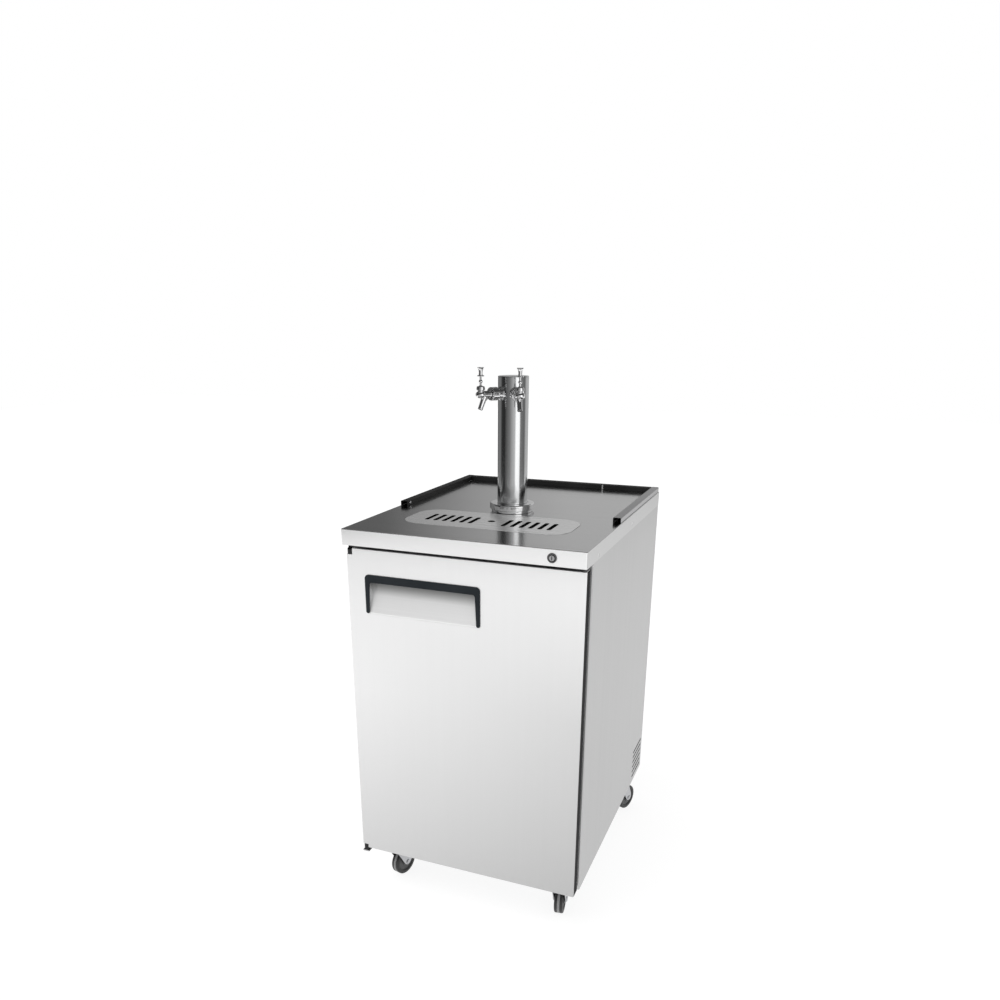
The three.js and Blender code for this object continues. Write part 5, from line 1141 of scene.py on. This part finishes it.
# %% Geometry Nodes
class Growth(Tree):
    """A geometry node tree with named inputs, and its result as a mesh."""

    def __init__(self, name, **inputs):
        super().__init__(bpy.data.node_groups.new(name, "GeometryNodeTree"))
        panel = self.tree.interface
        for way in ("INPUT", "OUTPUT"):
            panel.new_socket("Geometry", in_out=way, socket_type="NodeSocketGeometry")
        for label, kind in inputs.items():
            panel.new_socket(label, in_out="INPUT", socket_type="NodeSocket" + kind)
        self.inputs = self.tree.nodes.new("NodeGroupInput").outputs

    def __getitem__(self, label):
        return Wire(self, self.inputs[label])

    def add(self, kind, *settings, **named):
        """Adds a node of a kind whose name starts with GeometryNode."""
        return self.node("GeometryNode" + kind, *settings, **named)

    def vector(self, **parts):
        return self.node("ShaderNodeCombineXYZ", **parts)

    def close(self, geometry):
        """Ends the tree with one real mesh that has the finish."""
        solid = self.add("RealizeInstances", Geometry=geometry)
        dressed = self.add("SetMaterial", Geometry=solid, Material=self["Finish"])
        self.feed(self.tree.nodes.new("NodeGroupOutput").inputs[0], dressed)

    def mesh(self, seed_mesh, place=Matrix.Identity(4), **values):
        """The plain mesh that the tree makes, with values for its named inputs."""
        holder = placed("growing", seed_mesh)
        modifier = holder.modifiers.new("growth", "NODES")
        modifier.node_group = self.tree
        for item in self.tree.interface.items_tree:
            if item.in_out == "INPUT" and item.name in values:
                modifier[item.identifier] = values[item.name]
        result = baked(holder)
        holder.modifiers.remove(modifier)
        bpy.data.objects.remove(holder)
        result.transform(place)
        return result


# %% [markdown]
# Real screws stop at any angle. The points carry the way that they face, and each head is laid along
# it and then turned about itself by a random angle with a fixed seed. The cross recess is pressed
# into the head once, before it is scattered.

# %% Screws and bolts
scatter = Growth("scattered_heads", Head="Object", Seed="Int", Finish="Material")
facing = scatter.add("InputNamedAttribute", {"data_type": "FLOAT_VECTOR"}, Name="facing")
aimed = scatter.node("FunctionNodeAlignRotationToVector", {"axis": "Z"}, Vector=facing)
full_turn = {2: 0.0, 3: 2 * math.pi}
spin = scatter.node(
    "FunctionNodeRandomValue", {"data_type": "FLOAT"}, 1, full_turn, Seed=scatter["Seed"],
)
turned_head = scatter.node("FunctionNodeEulerToRotation", Euler=scatter.vector(Z=spin))
rotation = scatter.node(
    "FunctionNodeRotateRotation", {"rotation_space": "LOCAL"}, Rotation=aimed, Rotate_By=turned_head,
)
head = scatter.add("ObjectInfo", {"transform_space": "ORIGINAL"}, "Geometry", Object=scatter["Head"])
scatter.close(scatter.add("InstanceOnPoints", Points=scatter["Geometry"], Instance=head, Rotation=rotation))


def head_object(name, profile, segments, recess=None):
    """A screw or bolt head along Z, with a cross recess where recess gives its length, width and depth."""
    shape = bmesh.new()
    lathe(shape, profile, segments)
    if recess:
        length, width, drop = recess
        highest = max(v.co.z for v in shape.verts)
        for vert in shape.verts:
            x, y, z = vert.co
            in_cross = min(abs(x), abs(y)) * 2000 < width and vert.co.length * 2000 < length
            if z > highest - 0.0002 and in_cross:
                vert.co.z -= drop / 1000
    return placed(name, smoothed(as_mesh(name, shape), 35))


def scattered(name, places, head, seed, finish, like):
    """One head on each of the places, which are points in millimetres with the way that they face."""
    mesh = bpy.data.meshes.new("points")
    mesh.from_pydata([millimetres(*spot) for spot, _ in places], [], [])
    attribute = mesh.attributes.new("facing", "FLOAT_VECTOR", "POINT")
    attribute.data.foreach_set("vector", [value for _, direction in places for value in direction])
    heads = scatter.mesh(mesh, Head=head, Seed=seed, Finish=finish)
    keep_mesh(name, heads, None, like, stands_in=False)
    bpy.data.objects.remove(head)
    print(name, len(places))


pan_head = head_object("pan_head", [
    (4.6, 0.0), (4.6, 0.5), (4.2, 1.2), (3.0, 1.9), (2.4, 2.05), (1.6, 2.1), (0.8, 2.1), (0, 2.1),
], 16, (5.4, 1.5, 0.9))
flush_head = head_object("flush_head", [
    (4.9, -0.5), (4.6, -0.25), (3.4, -0.12), (2.4, -0.1), (1.6, -0.1), (0.8, -0.1), (0, -0.1),
], 16, (5.4, 1.5, 0.5))
hex_head = head_object("hex_head", [(6.0, 0.0), (6.0, 2.3), (5.3, 2.9), (0, 2.95)], 6)

back, front, down, right, left = (0, 1, 0), (0, -1, 0), (0, 0, -1), (1, 0, 0), (-1, 0, 0)
back_y = 376.5
cover_low, cover_high = box_mm("evaporator_cover")
screws = [((side * 284, back_y, z), back) for side in (-1, 1) for z in (190, 340, 490, 640, 790, 940)]
screws += [((x, back_y, z), back) for x in (-190, -95, 0, 95, 190) for z in (136, 958)]
screws += [((-277.4, -62, 1016.4), right), ((277.4, -62, 1016.4), left)]
screws += [((x, cover_low.y, z), front) for x in (-180, 180) for z in (cover_low.z + 10, cover_high.z - 10)]
screws += [((hinge_x, y, 120.3), down) for y in (-292, -274)]
flush_screws = [((side * worktop_half, y, z), (side, 0, 0)) for side in (-1, 1) for y, z in band_screws]
caster_bolts = [((x + a, y + b, 121.3), down) for x, y, _ in caster_places.values()
                for a in (-bolt_reach, bolt_reach) for b in (-bolt_reach, bolt_reach)]
scattered("pan_head_screws", screws, pan_head, 7, screw_steel, "back_panel")
scattered("flush_screws", flush_screws, flush_head, 3, flush_steel, "worktop")
scattered("caster_bolts", caster_bolts, hex_head, 11, zinc, "front_left_caster_plate")

# %% [markdown]
# The guard over the evaporator's fan is made of bent wire: rings at even steps and spokes across
# them. Curves with a round section give that, and the counts stay inputs of the tree.

# %% Fan guard
guard = Growth(
    "wire_guard", Rings="Int", Spokes="Int", Inner="Float", Outer="Float", Step="Float", Wire="Float",
    Finish="Material",
)
index = guard.add("InputIndex")
reach = guard.maths("MULTIPLY_ADD", index, guard["Step"], guard["Inner"])
ring_points = guard.add("Points", Count=guard["Rings"])
loop = guard.add("CurvePrimitiveCircle", {"mode": "RADIUS"}, Resolution=72, Radius=1.0)
rings = guard.add("InstanceOnPoints", Points=ring_points, Instance=loop, Scale=reach)
angle = guard.maths("MULTIPLY", index, guard.maths("DIVIDE", 2 * math.pi, guard["Spokes"]))
spoke_points = guard.add("Points", Count=guard["Spokes"])
spoke = guard.add(
    "CurvePrimitiveLine", Start=guard.vector(X=guard["Inner"]), End=guard.vector(X=guard["Outer"]),
)
spokes = guard.add("InstanceOnPoints", Points=spoke_points, Instance=spoke, Rotation=guard.vector(Z=angle))
wires = guard.add("JoinGeometry", Geometry=[rings, spokes])
single = guard.add("RealizeInstances", Geometry=wires)
section = guard.add("CurvePrimitiveCircle", {"mode": "RADIUS"}, Resolution=8, Radius=guard["Wire"])
guard.close(guard.add("CurveToMesh", Curve=single, Profile_Curve=section, Fill_Caps=True))
fan_low, fan_high = box_mm("evaporator_fan")
guard_place = turned_to((0, -1, 0), (63.33, cover_low.y + 1.0, (fan_low.z + fan_high.z) / 2))
guard_mesh = guard.mesh(
    bpy.data.meshes.new("nothing"), guard_place,
    Rings=5, Spokes=6, Inner=0.010, Outer=0.0502, Step=0.0098, Wire=0.0008, Finish=chrome,
)
keep_mesh("fan_guard", guard_mesh, None, "evaporator_cover", stands_in=False)

# %% [markdown]
# The condenser is a stack of thin fins on copper tubes. The solid is only a block, so a line of
# instances makes the fins, and four turned tubes run through them.

# %% Condenser fins and tubes
fins = Growth(
    "fin_stack", Count="Int", Step="Float", Width="Float", Height="Float", Sheet="Float", Finish="Material",
)
fin_line = fins.add("MeshLine", {"mode": "OFFSET"}, Count=fins["Count"], Offset=fins.vector(Y=fins["Step"]))
fin_size = fins.vector(X=fins["Width"], Y=fins["Sheet"], Z=fins["Height"])
fins.close(fins.add("InstanceOnPoints", Points=fin_line, Instance=fins.add("MeshCube", Size=fin_size)))
coil_low, coil_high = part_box("condenser")
coil_x, coil_z = 0.230, (coil_low.z + coil_high.z) / 2
fin_count, end_gap = 34, 0.004
lowest_tube, tube_step = 0.014, 0.026
stack = fins.mesh(
    bpy.data.meshes.new("nothing"), Matrix.Translation((coil_x, coil_low.y + end_gap, coil_z)),
    Count=fin_count, Step=(coil_high.y - coil_low.y - 2 * end_gap) / (fin_count - 1), Width=0.0438,
    Height=coil_high.z - coil_low.z - 0.0008, Sheet=0.0006, Finish=fin_metal,
)
shape = bmesh.new()
shape.from_mesh(stack)
y0, y1 = coil_low.y * 1000 + 4.5, coil_high.y * 1000 - 4.5
tube = [(0, y0), (3.9, y0), (3.9, y1), (0, y1)]
along_y = Matrix.Rotation(-math.pi / 2, 4, "X")
for number in range(4):
    height = coil_low.z + lowest_tube + tube_step * number
    lathe(shape, tube, 16, Matrix.Translation((coil_x, 0, height)) @ along_y, 1)
keep("condenser_coil", shape, [fin_metal, copper], "condenser", sharp=40)
print("guard and coil made")

# %% [markdown]
# The white room. The world is white to the camera and to reflections and dimmer as a light, the
# floor is pure white with the object's shadow left in it, and one wide sun gives that shadow.


# %% Room
def split_by_ray(tree, soft, direct, end, share=1.0):
    """Soft light meets one shader. Camera, mirror and glass rays meet a share of the other."""
    camera_ray, mirror_ray, glass_ray = (
        tree.node("ShaderNodeLightPath", output=kind + " Ray")
        for kind in ("Is Camera", "Is Glossy", "Is Transmission")
    )
    seen = tree.maths("MAXIMUM", tree.maths("MAXIMUM", camera_ray, mirror_ray), glass_ray)
    inputs = {0: seen * share, 1: soft, 2: direct}
    tree.feed(end, tree.node("ShaderNodeMixShader", numbered=inputs))


world = bpy.data.worlds.new("room")
bpy.context.scene.world = world
world.use_nodes = True
room = Tree(world.node_tree)
room.tree.nodes.clear()
fill, white = (
    room.node("ShaderNodeBackground", Color=(1, 1, 1, 1), Strength=strength) for strength in (0.62, 1.0)
)
split_by_ray(room, fill, white, room.tree.nodes.new("ShaderNodeOutputWorld").inputs["Surface"])

paper = Paint("floor_paper", grey(0.93), roughness=0.9)
glow = paper.node("ShaderNodeEmission", Strength=1.12)
split_by_ray(paper, Wire(paper, paper.shader.outputs[0]), glow, paper.end, share=0.78)
span = 14.0
corners = [(-span, -span, 0), (span, -span, 0), (span, span, 0), (-span, span, 0)]
floor_mesh = bpy.data.meshes.new("floor")
floor_mesh.from_pydata(corners, [], [(0, 1, 2, 3)])
floor_mesh.materials.append(paper.material)
floor = placed("floor", floor_mesh)
print("room made, with a floor", 2 * span, "m wide")

# %% [markdown]
# Polished metal needs something to mirror. A ring of cards stands round the product at bench
# height, grey behind it, dark to the left and right and bright where the soft box is, under a dark
# canopy. Only reflections see them, and they draw the dark outlines of the chrome.

# %% Cards
ring_paint = Paint("card_grey", grey(0.5))
turn = ring_paint.maths("ARCTAN2", ring_paint.axis("X"), 0.0 - ring_paint.axis("Y"))
brightest = 1.5
stops = [
    (-180, 0.56), (-166, 0.54), (-156, 0.40), (-145, 0.15), (-128, 0.11), (-112, 0.24), (-84, 0.22),
    (-68, 0.04), (-42, 0.03), (-30, 0.12), (-4, 0.25), (22, 0.58), (36, 0.70), (39, 1.5), (68, 1.5),
    (74, 0.26), (112, 0.16), (126, 0.55), (150, 0.62), (180, 0.56),
]
level = ring_paint.node("ShaderNodeValToRGB", output="Color", Fac=(turn + math.pi) / (2 * math.pi))
ramp = level.socket.node.color_ramp.elements
while len(ramp) < len(stops):
    ramp.new(0.5)
for element, (angle, value) in zip(ramp, stops):
    element.position = (angle + 180) / 360
    element.color = (*grey(value / brightest), 1.0)
canopy_paint = Paint("canopy_black", grey(0.1))
dim = canopy_paint.mixed(canopy_paint.noise(0.7).over(0.2, 0.9), grey(0.04), grey(0.10))
for paint, colour, strength in ((ring_paint, level, brightest), (canopy_paint, dim, 1.0)):
    paint.feed(paint.end, paint.node("ShaderNodeEmission", Color=colour, Strength=strength))
for name, profile, paint, start, stop in (
    ("ring_of_cards", [(3200, 560), (3200, 2900)], ring_paint, -180, 180),
    ("near_cards", [(950, 900), (950, 1500)], ring_paint, -118, 122),
    ("canopy", [(3200, 2900), (2000, 2960), (100, 3000)], canopy_paint, -180, 180),
):
    mesh = bpy.data.meshes.new(name)
    corners, steps, rows = [], 90, len(profile)
    for step in range(steps + 1):
        angle = math.radians(start + (stop - start) * step / steps)
        corners += [millimetres(r * math.sin(angle), -r * math.cos(angle), z) for r, z in profile]
    mesh.from_pydata(corners, [], [
        (rows * k + j, rows * (k + 1) + j, rows * (k + 1) + j + 1, rows * k + j + 1)
        for k in range(steps) for j in range(rows - 1)
    ])
    mesh.materials.append(paint.material)
    item = placed(name, mesh)
    item.visible_camera = item.visible_diffuse = False
    item.visible_shadow = item.visible_transmission = False
    print(name, len(mesh.polygons), "faces")

sun_data = bpy.data.lights.new("overhead_sun", "SUN")
sun_data.energy = 1.25
sun_data.angle = math.radians(40)
sun = placed("overhead_sun", sun_data)
sun.location = (-1.2, -1.6, 4.0)
sun_target = Vector((0, 0, 0.6))
sun.rotation_euler = (Vector(sun.location) - sun_target).to_track_quat("Z", "Y").to_euler()
bpy.context.scene.view_settings.view_transform = "Standard"

# %% [markdown]
# Where a large flat face meets a small round, smooth shading would bend the flat face's normals.
# Weighted normals leave the large faces flat and turn only the rounds.

# %% Even normals
for piece in pieces_made:
    evened = piece.modifiers.new("even normals", "WEIGHTED_NORMAL")
    evened.keep_sharp = True
    evened.weight = 100
print("pieces", len(pieces_made))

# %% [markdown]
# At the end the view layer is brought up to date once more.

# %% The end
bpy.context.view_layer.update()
